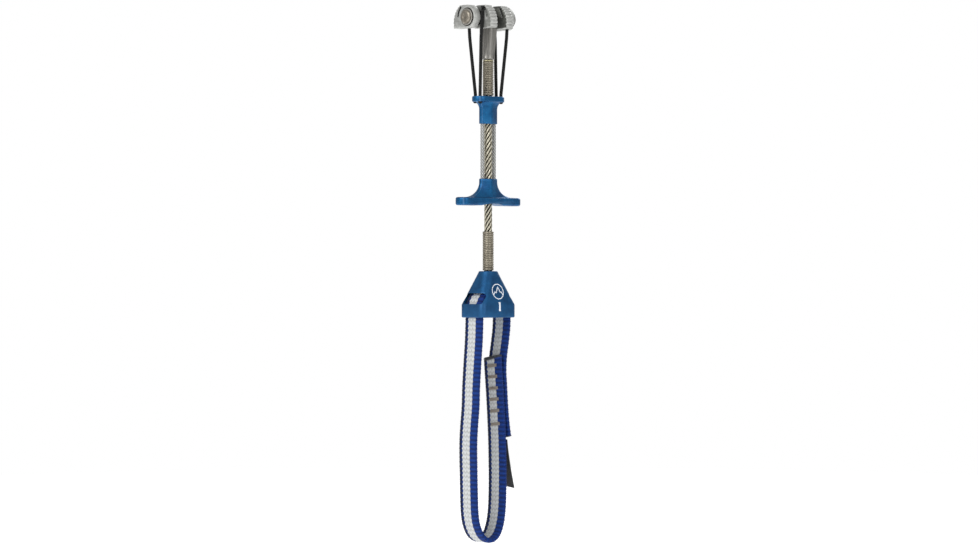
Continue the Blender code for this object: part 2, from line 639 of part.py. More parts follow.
def make_cords():
    """Four trigger cords from the collar's holes to the lobes, with a crimp under each hole."""
    flange_bottom = COLLAR_TOP_Z - COLLAR_FLANGE_THICK
    cord_end_z = flange_bottom + CRIMP_DEEP + CLEAR
    for side_name, sx in (("left", -1), ("right", 1)):
        for lobe_name, sy in (("outer", 1), ("inner", -1)):
            knee_share = (CORD_TOP_Z - CORD_KNEE_Z) / (CORD_TOP_Z - COLLAR_TOP_Z)
            knee_y = CORD_TOP_Y + (CORD_HOLE_Y - CORD_TOP_Y) * knee_share
            points = [
                (sx * GAP_X, sy * CORD_TOP_Y, CORD_TOP_Z),
                (sx * GAP_X, sy * knee_y, CORD_KNEE_Z),
                (sx * CORD_HOLE_X, sy * CORD_HOLE_Y, COLLAR_TOP_Z + 0.0012),
                (sx * CORD_HOLE_X, sy * CORD_HOLE_Y, cord_end_z),
            ]
            wire(f"trigger_cord_{lobe_name}_{side_name}", points, CORD_RADIUS, CORD_BLACK)
            profile = [
                (0.0, CRIMP_HIGH), (CRIMP_RADIUS, CRIMP_HIGH), (CRIMP_RADIUS, 0.0), (0.0, 0.0),
            ]
            crimp = lathe(f"cord_crimp_{lobe_name}_{side_name}", profile, CABLE_STEEL, 12)
            crimp.location = (sx * CORD_HOLE_X, sy * CORD_HOLE_Y, flange_bottom + CRIMP_DEEP - CRIMP_HIGH)


# ---------------------------------------------------------------- thumb block
def make_block():
    edge = 0.0006
    low_corner = BLOCK_CORNER - edge
    rings = [
        rounded_box_ring(BLOCK_HALF_X - edge, BLOCK_HALF_Y - edge, low_corner, BLOCK_BOTTOM_Z),
        rounded_box_ring(BLOCK_HALF_X, BLOCK_HALF_Y, BLOCK_CORNER, BLOCK_BOTTOM_Z + edge),
    ]
    slope_high = BLOCK_HIGH - BLOCK_BASE_HIGH - edge
    for k in range(5):
        share = k / 4
        half_x = BLOCK_HALF_X + (BLOCK_TOP_RADIUS - BLOCK_HALF_X) * share
        half_y = BLOCK_HALF_Y + (BLOCK_TOP_RADIUS - BLOCK_HALF_Y) * share
        corner = BLOCK_CORNER + (BLOCK_TOP_RADIUS - 0.0002 - BLOCK_CORNER) * share
        rings.append(rounded_box_ring(
            half_x, half_y, corner, BLOCK_BOTTOM_Z + BLOCK_BASE_HIGH + slope_high * share,
        ))
    top = BLOCK_TOP_RADIUS - edge
    rings.append(rounded_box_ring(top, top, top - 0.0002, BLOCK_TOP_Z))
    obj = loft("thumb_block", rings, BLUE_METAL)
    boolean(obj, channel_cutter())
    boolean(obj, window_cutter())
    boolean(obj, cutter_cylinder(STEM_BORE, "Z", (0, 0, BLOCK_TOP_Z), 0.02))
    stop_top = END_STOP_Z + END_STOP_HIGH + CLEAR
    pocket_bottom = END_STOP_Z - 0.0015
    centre = (0, 0, (stop_top + pocket_bottom) / 2)
    boolean(obj, cutter_cylinder(END_STOP_RADIUS + CLEAR, "Z", centre, stop_top - pocket_bottom))


def channel_cutter():
    """The webbing's way through the block: up one side, over the bar and down the other."""
    outer = WEB_RADIUS + WEB_THICK / 2 + CLEAR
    inner = WEB_RADIUS - WEB_THICK / 2 - CLEAR
    below = BLOCK_BOTTOM_Z - 0.002
    steps = 20
    outline = [(outer, below)]
    for k in range(steps + 1):
        a = math.pi * k / steps
        outline.append((outer * math.cos(a), WEB_TURN_Z + outer * math.sin(a)))
    outline += [(-outer, below), (-inner, below)]
    for k in range(steps + 1):
        a = math.pi * (1 - k / steps)
        outline.append((inner * math.cos(a), WEB_TURN_Z + inner * math.sin(a)))
    outline.append((inner, below))
    half = WEB_WIDE / 2 + 2 * CLEAR
    return prism("cutter", outline, "Y", -half, half, None, CUTTERS)


def window_cutter():
    """Two rounded windows, one in each shoulder, that open on the webbing."""
    low = BLOCK_BOTTOM_Z + WINDOW_LOW
    high = low + WINDOW_TALL
    half = (WEB_WIDE + WINDOW_SPARE) / 2
    corner = 0.0018
    outline = []
    sill = 0.0008
    corners = [(1, high - corner), (-1, high - corner), (-1, low + sill), (1, low + sill)]
    for quarter, (sy, z) in enumerate(corners):
        radius = corner if quarter < 2 else sill
        for k in range(5):
            a = math.pi / 2 * (quarter + k / 4)
            outline.append((sy * (half - radius) + radius * math.cos(a), z + radius * math.sin(a)))
    inner_x = WEB_RADIUS * 0.45
    left = prism("cutter", outline, "X", -0.02, -inner_x, None, CUTTERS)
    right = prism("cutter", outline, "X", inner_x, 0.02, None, CUTTERS)
    boolean(left, right, "UNION")
    return left


# ---------------------------------------------------------------- sling
def web_turn():
    """Middle line of the webbing over the block's bar, from left to right."""
    steps = 14
    return [
        Vector((-WEB_RADIUS * math.cos(math.pi * k / steps), WEB_TURN_Z + WEB_RADIUS * math.sin(math.pi * k / steps)))
        for k in range(steps + 1)
    ]


def hung(route):
    return [(x, BLOCK_BOTTOM_Z + height) for x, height in route]


def make_sling():
    half = WEB_WIDE / 2
    line = catmull(hung(SLING_ROUTE), 3) + web_turn() + catmull(hung(SLING_OUTER), 3)
    prism("sling_webbing", ribbon_outline(line, WEB_THICK), "Y", -half, half, WEBBING)
    tag = ribbon_outline(catmull(hung(TAG_ROUTE), 3), TAG_THICK)
    prism("sling_tag", tag, "Y", -TAG_WIDE / 2, TAG_WIDE / 2, TAG_CLOTH)


# ---------------------------------------------------------------- build
clear_scene()
PARTS = collection("camming_device")
CUTTERS = collection("cutters")
LOBE_METAL = material("lobe_alloy", (0.42, 0.43, 0.40), 0.45, 0.9)
AXLE_STEEL = material("axle_steel", (0.27, 0.23, 0.19), 0.35, 1.0)
TERMINAL_STEEL = material("terminal_steel", (0.30, 0.29, 0.27), 0.4, 1.0)
SHEATH_STEEL = material("sheath_steel", (0.22, 0.20, 0.15), 0.4, 1.0)
SPRING_STEEL = material("spring_steel", (0.30, 0.29, 0.26), 0.35, 1.0)
CABLE_STEEL = material("cable_steel", (0.50, 0.47, 0.36), 0.35, 1.0)
BRASS = material("ring_brass", (0.65, 0.55, 0.32), 0.35, 1.0)
BLUE_METAL = material("blue_anodised", (0.02, 0.10, 0.32), 0.38, 0.8)
CORD_BLACK = material("cord_black", (0.012, 0.013, 0.012), 0.8, 0.0)
WEBBING = material("webbing_blue_white", (0.30, 0.34, 0.55), 0.85, 0.0)
TAG_CLOTH = material("tag_black", (0.03, 0.03, 0.03), 0.85, 0.0)

make_axle()
make_springs()
make_lobes()
make_stem()
make_collar()
make_trigger_bar()
make_links()
make_cords()
make_block()
make_sling()
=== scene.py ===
"""Looks of the spring loaded camming device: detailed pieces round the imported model."""

import json
import math
import bmesh
import bpy
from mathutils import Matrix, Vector

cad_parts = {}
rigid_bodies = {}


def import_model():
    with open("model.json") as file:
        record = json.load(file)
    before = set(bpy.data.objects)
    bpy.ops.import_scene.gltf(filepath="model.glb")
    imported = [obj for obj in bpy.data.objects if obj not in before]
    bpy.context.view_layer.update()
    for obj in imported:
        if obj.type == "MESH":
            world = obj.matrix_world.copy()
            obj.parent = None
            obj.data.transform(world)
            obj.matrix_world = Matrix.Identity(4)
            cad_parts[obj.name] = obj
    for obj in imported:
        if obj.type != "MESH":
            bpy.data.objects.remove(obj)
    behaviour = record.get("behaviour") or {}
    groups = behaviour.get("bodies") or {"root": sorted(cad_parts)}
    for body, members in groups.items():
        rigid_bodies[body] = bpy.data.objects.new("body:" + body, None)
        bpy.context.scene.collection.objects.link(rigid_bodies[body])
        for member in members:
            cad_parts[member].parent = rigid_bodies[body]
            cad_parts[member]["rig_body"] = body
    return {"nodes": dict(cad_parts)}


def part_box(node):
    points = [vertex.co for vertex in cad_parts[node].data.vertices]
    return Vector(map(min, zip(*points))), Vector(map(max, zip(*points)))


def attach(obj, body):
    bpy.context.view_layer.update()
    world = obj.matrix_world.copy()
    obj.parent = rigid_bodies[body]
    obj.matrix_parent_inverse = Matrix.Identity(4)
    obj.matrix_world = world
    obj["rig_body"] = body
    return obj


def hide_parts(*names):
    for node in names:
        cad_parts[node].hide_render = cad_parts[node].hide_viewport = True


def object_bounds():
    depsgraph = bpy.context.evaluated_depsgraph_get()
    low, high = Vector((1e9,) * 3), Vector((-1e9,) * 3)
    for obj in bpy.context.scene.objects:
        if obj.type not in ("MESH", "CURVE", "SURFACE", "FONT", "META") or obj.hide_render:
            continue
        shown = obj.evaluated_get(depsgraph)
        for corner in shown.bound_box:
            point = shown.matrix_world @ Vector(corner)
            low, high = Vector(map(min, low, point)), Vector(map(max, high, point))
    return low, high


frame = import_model()
CAD_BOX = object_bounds()
SCENE = bpy.context.scene
MM = 0.001


def limits(node):
    """A node's lowest and highest corners, in millimetres."""
    low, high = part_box(node)
    return [v / MM for v in low], [v / MM for v in high]


# ---------------------------------------------------------------- mesh helpers (millimetres)
def set_smooth(obj, angle):
    mesh = obj.data
    mesh.polygons.foreach_set("use_smooth", [True] * len(mesh.polygons))
    mesh.set_sharp_from_angle(angle=math.radians(angle))
    mesh.update()


def piece(name, verts, faces, mat, angle=35.0):
    mesh = bpy.data.meshes.new(name)
    mesh.from_pydata([(x * MM, y * MM, z * MM) for x, y, z in verts], [], faces)
    bm = bmesh.new()
    bm.from_mesh(mesh)
    bmesh.ops.recalc_face_normals(bm, faces=bm.faces)
    bm.to_mesh(mesh)
    bm.free()
    obj = bpy.data.objects.new(name, mesh)
    SCENE.collection.objects.link(obj)
    if mat:
        mesh.materials.append(mat)
    set_smooth(obj, angle)
    return obj


def loft(name, rings, mat, angle=35.0, closed=False):
    """Skin over rings of equally many points; open ends are capped."""
    size = len(rings[0])
    verts = [v for ring in rings for v in ring]
    faces = []
    for k in range(len(rings) if closed else len(rings) - 1):
        a, b = k * size, (k + 1) % len(rings) * size
        for j in range(size):
            n = (j + 1) % size
            faces.append((a + j, a + n, b + n, b + j))
    if not closed:
        faces.append(tuple(range(size))[::-1])
        faces.append(tuple(range((len(rings) - 1) * size, len(rings) * size)))
    return piece(name, verts, faces, mat, angle)


def lathe(name, profile, mat, axis="Z", centre=(0, 0, 0), steps=64, angle=35.0, closed=False):
    """Turn (radius, along) points about an axis through centre."""
    rings = []
    for radius, along in profile:
        ring = []
        for k in range(steps):
            a = 2 * math.pi * k / steps
            c, s = radius * math.cos(a), radius * math.sin(a)
            point = (along, c, s) if axis == "X" else (c, along, s) if axis == "Y" else (c, s, along)
            ring.append(tuple(p + q for p, q in zip(point, centre)))
        rings.append(ring)
    return loft(name, rings, mat, angle, closed)


def apply_modifiers(obj):
    depsgraph = bpy.context.evaluated_depsgraph_get()
    mesh = bpy.data.meshes.new_from_object(obj.evaluated_get(depsgraph))
    obj.modifiers.clear()
    old = obj.data
    obj.data = mesh
    bpy.data.meshes.remove(old)


def cut(obj, *cutters):
    for other in cutters:
        mod = obj.modifiers.new("cut", "BOOLEAN")
        mod.object = other
        mod.operation = "DIFFERENCE"
        mod.solver = "EXACT"
    apply_modifiers(obj)
    for other in cutters:
        bpy.data.objects.remove(other)


def bevel(obj, width, segments=2, limit=40.0):
    mod = obj.modifiers.new("bevel", "BEVEL")
    mod.width = width * MM
    mod.segments = segments
    mod.limit_method = "ANGLE"
    mod.angle_limit = math.radians(limit)
    mod.use_clamp_overlap = True
    apply_modifiers(obj)


def rod(radius, axis, centre, length, steps=48):
    half = length / 2
    return lathe("cutter", [(radius, -half), (radius, half)], None, axis, centre, steps)


def arc(radius, start, turn, steps, centre=(0.0, 0.0)):
    """Planar points of a circle, from the angle start on through turn."""
    angles = [start + turn * k / steps for k in range(steps + 1)]
    return [(centre[0] + radius * math.cos(a), centre[1] + radius * math.sin(a)) for a in angles]


def catmull(points, per_span):
    """A smooth line through 2-D or 3-D points."""
    pts = [Vector(p) for p in points]
    pts = [pts[0] * 2 - pts[1]] + pts + [pts[-1] * 2 - pts[-2]]
    line = []
    for a, b, c, d in zip(pts, pts[1:], pts[2:], pts[3:]):
        for k in range(per_span):
            t = k / per_span
            line.append(0.5 * (
                2 * b + (c - a) * t + (2 * a - 5 * b + 4 * c - d) * t * t
                + (3 * b - a - 3 * c + d) * t ** 3
            ))
    line.append(pts[-2])
    return line


def even(line, step):
    """The same line with evenly spaced points."""
    total = sum((b - a).length for a, b in zip(line, line[1:]))
    count = max(2, round(total / step))
    out, k, done = [line[0].copy()], 0, 0.0
    for n in range(1, count):
        want = total * n / count
        while done + (line[k + 1] - line[k]).length < want:
            done += (line[k + 1] - line[k]).length
            k += 1
        out.append(line[k].lerp(line[k + 1], (want - done) / (line[k + 1] - line[k]).length))
    out.append(line[-1].copy())
    return out


def store(obj, name, values):
    attribute = obj.data.attributes.new(name, "FLOAT", "POINT")
    attribute.data.foreach_set("value", values)


def tube(name, line, radius, mat, sides=12, angle=60.0):
    """A closed tube along a line. radius is a number, or a function of (along, turn)."""
    frames, normal = [], None
    for k, point in enumerate(line):
        tangent = (line[min(k + 1, len(line) - 1)] - line[max(k - 1, 0)]).normalized()
        if normal is None:
            normal = tangent.orthogonal().normalized()
        normal = (normal - tangent * normal.dot(tangent)).normalized()
        frames.append((point, normal.copy(), tangent.cross(normal)))
    rings, alongs, turns, along = [], [], [], 0.0
    for k, (point, n, b) in enumerate(frames):
        if k:
            along += (point - frames[k - 1][0]).length
        ring = []
        for j in range(sides):
            a = 2 * math.pi * j / sides
            r = radius(along, a) if callable(radius) else radius
            ring.append(tuple(point + n * (r * math.cos(a)) + b * (r * math.sin(a))))
            alongs.append(along)
            turns.append(j / sides)
        rings.append(ring)
    obj = loft(name, rings, mat, angle)
    store(obj, "along", alongs)
    store(obj, "turn", turns)
    return obj


def join(name, *objs):
    """One object from several, with their materials."""
    bm = bmesh.new()
    mats = []
    for obj in objs:
        first = len(bm.faces)
        bm.from_mesh(obj.data)
        bm.faces.ensure_lookup_table()
        own = [mats.index(m) if m in mats else (mats.append(m) or len(mats) - 1) for m in obj.data.materials]
        for face in bm.faces[first:]:
            face.material_index = own[face.material_index]
    mesh = bpy.data.meshes.new(name)
    bm.to_mesh(mesh)
    bm.free()
    for mat in mats:
        mesh.materials.append(mat)
    for obj in objs:
        bpy.data.objects.remove(obj)
    out = bpy.data.objects.new(name, mesh)
    SCENE.collection.objects.link(out)
    return out


def put(obj, slot, *nodes, body=None):
    """Stand for the nodes, and ride on their body or the one named; slot is not used."""
    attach(obj, body or frame["nodes"][nodes[0]]["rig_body"])
    if nodes:
        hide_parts(*nodes)
    return obj


# ---------------------------------------------------------------- material helpers
def linear(*rgb):
    return [((v / 255 + 0.055) / 1.055) ** 2.4 if v > 10 else v / 255 / 12.92 for v in rgb] + [1.0]


class Mat:
    """A small builder of procedural materials."""

    def __init__(self, name, roughness=0.5, metallic=0.0, **sockets):
        self.mat = bpy.data.materials.new(name)
        self.mat.use_nodes = True
        self.nodes = self.mat.node_tree.nodes
        self.links = self.mat.node_tree.links
        self.shader = self.nodes["Principled BSDF"]
        self.shader.inputs["Roughness"].default_value = roughness
        self.shader.inputs["Metallic"].default_value = metallic
        for key, value in sockets.items():
            self.shader.inputs[key.replace("_", " ")].default_value = value
        self.place = self.nodes.new("ShaderNodeTexCoord").outputs["Object"]

    def feed(self, socket, value):
        if hasattr(value, "is_output"):
            self.links.new(value, socket)
        else:
            socket.default_value = value

    def attribute(self, name):
        node = self.nodes.new("ShaderNodeAttribute")
        node.attribute_name = name
        return node.outputs["Fac"]

    def math(self, operation, a, b=0.0, c=0.0):
        node = self.nodes.new("ShaderNodeMath")
        node.operation = operation
        for socket, value in zip(node.inputs, (a, b, c)):
            self.feed(socket, value)
        return node.outputs[0]

    def stretched(self, scale):
        node = self.nodes.new("ShaderNodeMapping")
        self.links.new(self.place, node.inputs["Vector"])
        node.inputs["Scale"].default_value = scale
        return node.outputs[0]

    def noise(self, scale, detail=3.0, rough=0.6, where=None):
        node = self.nodes.new("ShaderNodeTexNoise")
        self.links.new(where or self.place, node.inputs["Vector"])
        node.inputs["Scale"].default_value = scale
        node.inputs["Detail"].default_value = detail
        node.inputs["Roughness"].default_value = rough
        return node.outputs["Fac"]

    def ramp(self, value, *stops):
        node = self.nodes.new("ShaderNodeValToRGB")
        self.links.new(value, node.inputs["Fac"])
        ramp = node.color_ramp
        while len(ramp.elements) < len(stops):
            ramp.elements.new(0.5)
        for element, (where, colour) in zip(ramp.elements, stops):
            element.position = where
            element.color = colour if hasattr(colour, "__len__") else (colour, colour, colour, 1.0)
        return node.outputs["Color"]

    def mix(self, share, a, b):
        node = self.nodes.new("ShaderNodeMix")
        node.data_type = "RGBA"
        self.feed(node.inputs["Factor"], share)
        self.feed(node.inputs["A"], a)
        self.feed(node.inputs["B"], b)
        return node.outputs["Result"]

    def edge(self, low=0.49, high=0.56):
        """1 on convex edges."""
        node = self.nodes.new("ShaderNodeNewGeometry")
        return self.ramp(node.outputs["Pointiness"], (low, 0.0), (high, 1.0))

    def done(self, colour=None, rough=None, height=None, strength=0.3, depth=0.05):
        if colour is not None:
            self.feed(self.shader.inputs["Base Color"], colour)
        if rough is not None:
            self.feed(self.shader.inputs["Roughness"], rough)
        if height is not None:
            node = self.nodes.new("ShaderNodeBump")
            node.inputs["Strength"].default_value = strength
            node.inputs["Distance"].default_value = depth * MM
            self.feed(node.inputs["Height"], height)
            self.links.new(node.outputs[0], self.shader.inputs["Normal"])
        return self.mat


# ---------------------------------------------------------------- materials
def lobe_alloy():
    m = Mat("lobe_alloy", metallic=0.45)
    fine = m.noise(2600, 4)
    blotch = m.noise(260, 3)
    colour = m.ramp(blotch, (0.3, linear(141, 142, 138)), (0.7, linear(180, 181, 177)))
    colour = m.mix(m.edge(0.50, 0.60), colour, linear(206, 207, 204))
    pits = m.noise(900, 5, 0.75)
    colour = m.mix(m.ramp(pits, (0.56, 0.0), (0.70, 0.55)), colour, linear(92, 94, 90))
    # painted shade: faces in the lobes' narrow gaps and in the spring pocket are darkened towards a dark
    # olive, by a share stored on each face
    gap_shade_colour = m.ramp(blotch, (0.35, linear(34, 36, 32)), (0.65, linear(96, 98, 90)))
    colour = m.mix(m.attribute("painted_gap_shade"), colour, gap_shade_colour)
    rough = m.ramp(fine, (0.3, 0.38), (0.75, 0.60))
    return m.done(colour, rough, fine, 0.25, 0.03)


def dark_steel(name, dark, light, streak, rough_low, rough_high):
    """A drawn or turned steel; streak stretches its marks."""
    m = Mat(name, metallic=0.8)
    marks = m.noise(900, 4, 0.65, m.stretched(streak))
    stain = m.noise(240, 3)
    colour = m.ramp(marks, (0.3, linear(*dark)), (0.72, linear(*light)))
    colour = m.mix(m.math("MULTIPLY", stain, 0.35), colour, linear(*[v * 0.72 for v in dark]))
    rough = m.ramp(marks, (0.3, rough_high), (0.75, rough_low))
    return m.done(colour, rough, marks, 0.25, 0.03)


def strand_wire(name, dark, light, lay, count, rough=0.34, shift=0.0, gap=None):
    """Fine wires laid round a strand; gap holds the radii, in millimetres, between which a painted shade on
    the strands' inner flanks fades out.
    """
    m = Mat(name, metallic=0.7)
    along, turn = m.attribute("along"), m.attribute("turn")
    phase = m.math("MULTIPLY_ADD", along, 1 / lay, m.math("MULTIPLY_ADD", turn, float(count), shift))
    wires = m.math("MULTIPLY", m.math("PINGPONG", phase, 0.5), 2.0)
    grime = m.noise(500, 3)
    shadow = linear(*[v * 0.5 for v in dark])
    colour = m.ramp(wires, (0.0, shadow), (0.25, linear(*dark)), (0.7, linear(*light)))
    colour = m.mix(m.math("MULTIPLY", grime, 0.25), colour, linear(*[v * 0.6 for v in dark]))
    # painted shade: the strands turn dark brown towards the cable's axis, where their flanks face into the
    # gaps between them
    if gap:
        split = m.nodes.new("ShaderNodeSeparateXYZ")
        m.links.new(m.place, split.inputs[0])
        x, y = split.outputs[0], split.outputs[1]
        reach = m.math("SQRT", m.math("ADD", m.math("MULTIPLY", x, x), m.math("MULTIPLY", y, y)))
        out = m.math("MULTIPLY_ADD", reach, 1000 / (gap[1] - gap[0]), -gap[0] / (gap[1] - gap[0]))
        colour = m.mix(m.ramp(out, (0.0, 0.96), (0.95, 0.0)), colour, linear(34, 29, 20))
    return m.done(colour, m.ramp(grime, (0.3, rough), (0.8, rough + 0.2)), wires, 0.6, 0.08)


def anodised(name, dark, light, streak, rough_low=0.34, rough_high=0.50):
    """Dyed anodised aluminium with faint tool marks and worn edges."""
    m = Mat(name, metallic=0.75, Coat_Weight=0.08, Coat_Roughness=0.35)
    cloud = m.noise(170, 4)
    tool = m.noise(700, 3, 0.6, m.stretched(streak))
    colour = m.ramp(cloud, (0.3, linear(*dark)), (0.72, linear(*light)))
    colour = m.mix(m.math("MULTIPLY", m.edge(0.52, 0.62), 0.30), colour, linear(118, 160, 205))
    rough = m.ramp(tool, (0.3, rough_low), (0.75, rough_high))
    return m.done(colour, rough, tool, 0.22, 0.03)


def braid_black():
    m = Mat("cord_black", roughness=0.85, Specular_IOR_Level=0.25, Sheen_Weight=0.08, Sheen_Roughness=0.6)
    along, turn = m.attribute("along"), m.attribute("turn")
    up = m.math("PINGPONG", m.math("MULTIPLY_ADD", along, 0.55, m.math("MULTIPLY", turn, 3.0)), 0.5)
    down = m.math("PINGPONG", m.math("MULTIPLY_ADD", along, 0.55, m.math("MULTIPLY", turn, -3.0)), 0.5)
    weave = m.math("MULTIPLY", up, down)
    fuzz = m.noise(3500, 3)
    height = m.math("MULTIPLY_ADD", fuzz, 0.3, m.math("MULTIPLY", weave, 3.0))
    colour = m.ramp(height, (0.1, linear(5, 6, 6)), (0.8, linear(24, 25, 24)))
    return m.done(colour, None, height, 0.7, 0.12)


def webbing_cloth():
    """Woven tape: white middle, blue edges; across and along are stored on the mesh in millimetres."""
    m = Mat(
        "webbing_blue_white", roughness=0.82, Specular_IOR_Level=0.2, Sheen_Weight=0.06, Sheen_Roughness=0.5,
    )
    along, across = m.attribute("along"), m.attribute("across")
    away = m.math("ABSOLUTE", m.math("SUBTRACT", across, STRIPE_SHIFT))
    wobble = m.math("PINGPONG", m.math("MULTIPLY", along, 1 / KNOB_PITCH), 0.5)
    is_edge = m.math("GREATER_THAN", m.math("ADD", away, wobble), WHITE_HALF + 0.2)
    grain = m.noise(2800, 4, 0.7)
    # white middle: columns of small chevrons
    column = m.math("PINGPONG", m.math("MULTIPLY", across, 1 / COLUMN_WIDE), 0.5)
    chevron = m.math("PINGPONG", m.math("ADD", column, m.math("MULTIPLY", along, 1 / ROW_PITCH)), 0.5)
    chevron = m.math("MULTIPLY", chevron, 2.0)
    groove = m.ramp(column, (0.0, 0.0), (0.12, 1.0))
    thread = m.math("MULTIPLY", chevron, groove)
    soiled = m.noise(130, 3)
    white = m.ramp(
        thread, (0.0, linear(158, 160, 160)), (0.3, linear(190, 193, 194)), (0.8, linear(204, 208, 211)),
    )
    white = m.mix(m.math("MULTIPLY", soiled, 0.28), white, linear(200, 197, 188))
    # blue edges: blocks of thread with dark grooves between
    knob = m.math("MULTIPLY", wobble, 2.0)
    lines = m.math("PINGPONG", m.math("MULTIPLY", away, 1 / 0.36), 0.5)
    thread_blue = m.math("MULTIPLY_ADD", lines, 0.5, m.math("MULTIPLY", knob, 0.75))
    blue = m.ramp(
        thread_blue, (0.05, linear(6, 16, 44)), (0.30, linear(10, 38, 98)), (0.95, linear(16, 62, 144)),
    )
    blue = m.mix(m.math("MULTIPLY", grain, 0.35), blue, linear(12, 36, 92))
    # painted shade: the blue darkens to near navy towards the +Y edge, the side turned away from the light
    painted_shade_side = m.ramp(m.math("MULTIPLY_ADD", across, 0.1, 0.5), (0.80, 0.0), (0.92, 0.85))
    blue = m.mix(painted_shade_side, blue, linear(10, 20, 44))
    colour = m.mix(is_edge, white, blue)
    charred = m.attribute("charred")
    colour = m.mix(charred, colour, m.ramp(grain, (0.3, linear(30, 31, 34)), (0.8, linear(84, 86, 88))))
    height = m.mix(is_edge, thread, thread_blue)
    height = m.mix(0.25, height, grain)
    rough = m.ramp(grain, (0.2, 0.72), (0.8, 0.95))
    return m.done(colour, rough, height, 0.6, 0.12)


def tack_thread():
    m = Mat("tack_thread", roughness=0.8, Sheen_Weight=0.2)
    along, turn = m.attribute("along"), m.attribute("turn")
    ply = m.math("PINGPONG", m.math("MULTIPLY_ADD", along, 1.6, m.math("MULTIPLY", turn, 2.0)), 0.5)
    fuzz = m.noise(4000, 3)
    colour = m.ramp(ply, (0.0, linear(104, 96, 88)), (0.5, linear(172, 162, 150)))
    colour = m.mix(m.math("MULTIPLY", fuzz, 0.4), colour, linear(112, 102, 92))
    return m.done(colour, None, ply, 0.6, 0.08)


def tag_cloth():
    m = Mat("tag_black", roughness=0.85, Sheen_Weight=0.2)
    threads = []
    for direction in "YZ":
        wave = m.nodes.new("ShaderNodeTexWave")
        m.links.new(m.place, wave.inputs["Vector"])
        wave.bands_direction = direction
        wave.inputs["Scale"].default_value = 900
        threads.append(wave.outputs["Fac"])
    weave = m.math("MULTIPLY", *threads)
    wear = m.noise(300, 4)
    colour = m.ramp(weave, (0.0, linear(16, 16, 19)), (0.8, linear(44, 44, 48)))
    colour = m.mix(m.math("MULTIPLY", wear, 0.35), colour, linear(62, 62, 66))
    return m.done(colour, m.ramp(wear, (0.3, 0.75), (0.8, 0.95)), weave, 0.5, 0.06)


def mark_paint():
    m = Mat("mark_white", roughness=0.5)
    wear = m.noise(1500, 4)
    colour = m.ramp(wear, (0.25, linear(196, 208, 222)), (0.55, linear(240, 243, 247)))
    return m.done(colour, m.ramp(wear, (0.3, 0.4), (0.8, 0.65)), wear, 0.2, 0.02)


KNOB_PITCH = 2.15      # length of a thread block along the tape's edges
WHITE_HALF = 2.6       # half width of the white stripe
STRIPE_SHIFT = 0.5     # the stripe isn't quite in the middle
COLUMN_WIDE = 2.1
ROW_PITCH = 2.15

ALLOY = lobe_alloy()
RIVET = dark_steel("axle_steel", (122, 115, 104), (178, 170, 157), (0.5, 0.5, 0.5), 0.3, 0.5)
WASHER = dark_steel("washer_steel", (160, 157, 150), (214, 211, 204), (0.5, 0.5, 0.5), 0.32, 0.5)
TERMINAL = dark_steel("terminal_steel", (116, 114, 109), (180, 178, 172), (1, 1, 0.06), 0.26, 0.48)
SHEATH = dark_steel("sheath_steel", (126, 119, 105), (170, 163, 147), (0.5, 0.5, 0.5), 0.28, 0.42)
SPRING = dark_steel("spring_steel", (40, 38, 35), (84, 80, 74), (1, 1, 1), 0.3, 0.5)
BRASS = dark_steel("ring_brass", (158, 148, 112), (216, 208, 172), (1, 1, 1), 0.28, 0.5)
CABLE = strand_wire("cable_steel", (176, 170, 148), (226, 220, 200), 3.4, 4, 0.3, gap=(1.45, 1.90))
LINK = strand_wire("link_steel", (118, 119, 117), (198, 199, 197), -1.5, 6, 0.42, 0.5)
# painted shade: near-black steel for the cable's core, which shows only as shade between the strands, and for
# the shadow ring behind each washer
PAINTED_SHADE_STEEL = dark_steel("cable_core_painted_shade", (16, 14, 10), (38, 33, 25), (1, 1, 1), 0.6, 0.8)
BLUE = anodised("blue_anodised", (10, 63, 110), (20, 100, 152), (1, 1, 5))
BLUE_BLOCK = anodised("blue_anodised_block", (14, 67, 111), (26, 91, 141), (1, 1, 4), 0.46, 0.62)
CORD = braid_black()
WEBBING = webbing_cloth()
THREAD = tack_thread()
TAG = tag_cloth()
WHITE = mark_paint()


# ---------------------------------------------------------------- lobes
TIP_RADIUS, SPIRAL_RATE = 11.0, math.tan(math.radians(13.25))
FLAT_BELOW, TOP_FLAT, HEEL_RADIUS = 5.2, 5.9, 4.7
TOOTH_DEPTH, TOOTH_COUNT = 0.42, 8
SLOT_RADIUS, SLOT_WIDE, SLOT_FROM, SLOT_TO = 6.8, 1.3, math.radians(6), math.radians(44)
BORE, POCKET_RADIUS, POCKET_DEPTH = 2.15, 3.9, 1.4
SPRING_MEAN = 2.9
KNOT_ANGLE = math.radians(43)


def lobe_outline():
    tip = -math.asin(FLAT_BELOW / TIP_RADIUS)
    top = math.radians(50)
    steps = TOOTH_COUNT * 8
    outline = []
    for k in range(steps + 1):
        share = k / steps
        a = tip + (top - tip) * share
        valley = 1 - abs(math.sin(math.pi * TOOTH_COUNT * share)) ** 0.8
        r = TIP_RADIUS * math.exp(-(a - tip) * SPIRAL_RATE) - (TOOTH_DEPTH * valley if k else 0.0)
        outline.append((r * math.cos(a), r * math.sin(a)))
    outline += [(3.6, TOP_FLAT), (2.0, TOP_FLAT), (0.4, TOP_FLAT)]
    for k in range(1, 13):
        a = math.radians(90 + 5 * k)
        r = TOP_FLAT + (HEEL_RADIUS - TOP_FLAT) * k / 12
        outline.append((r * math.cos(a), r * math.sin(a)))
    for k in range(1, 17):
        a = math.radians(150 + 4.5 * k)
        outline.append((HEEL_RADIUS * math.cos(a), HEEL_RADIUS * math.sin(a)))
    return outline + [(-2.4, -FLAT_BELOW + 0.3), (-1.6, -FLAT_BELOW), (3.0, -FLAT_BELOW), (7.0, -FLAT_BELOW)]


def inset(outline, by):
    out = []
    for k, (x, y) in enumerate(outline):
        px, py = outline[k - 1]
        nx, ny = outline[(k + 1) % len(outline)]
        tx, ty = nx - px, ny - py
        size = math.hypot(tx, ty) or 1.0
        out.append((x - ty / size * by, y + tx / size * by))
    return out


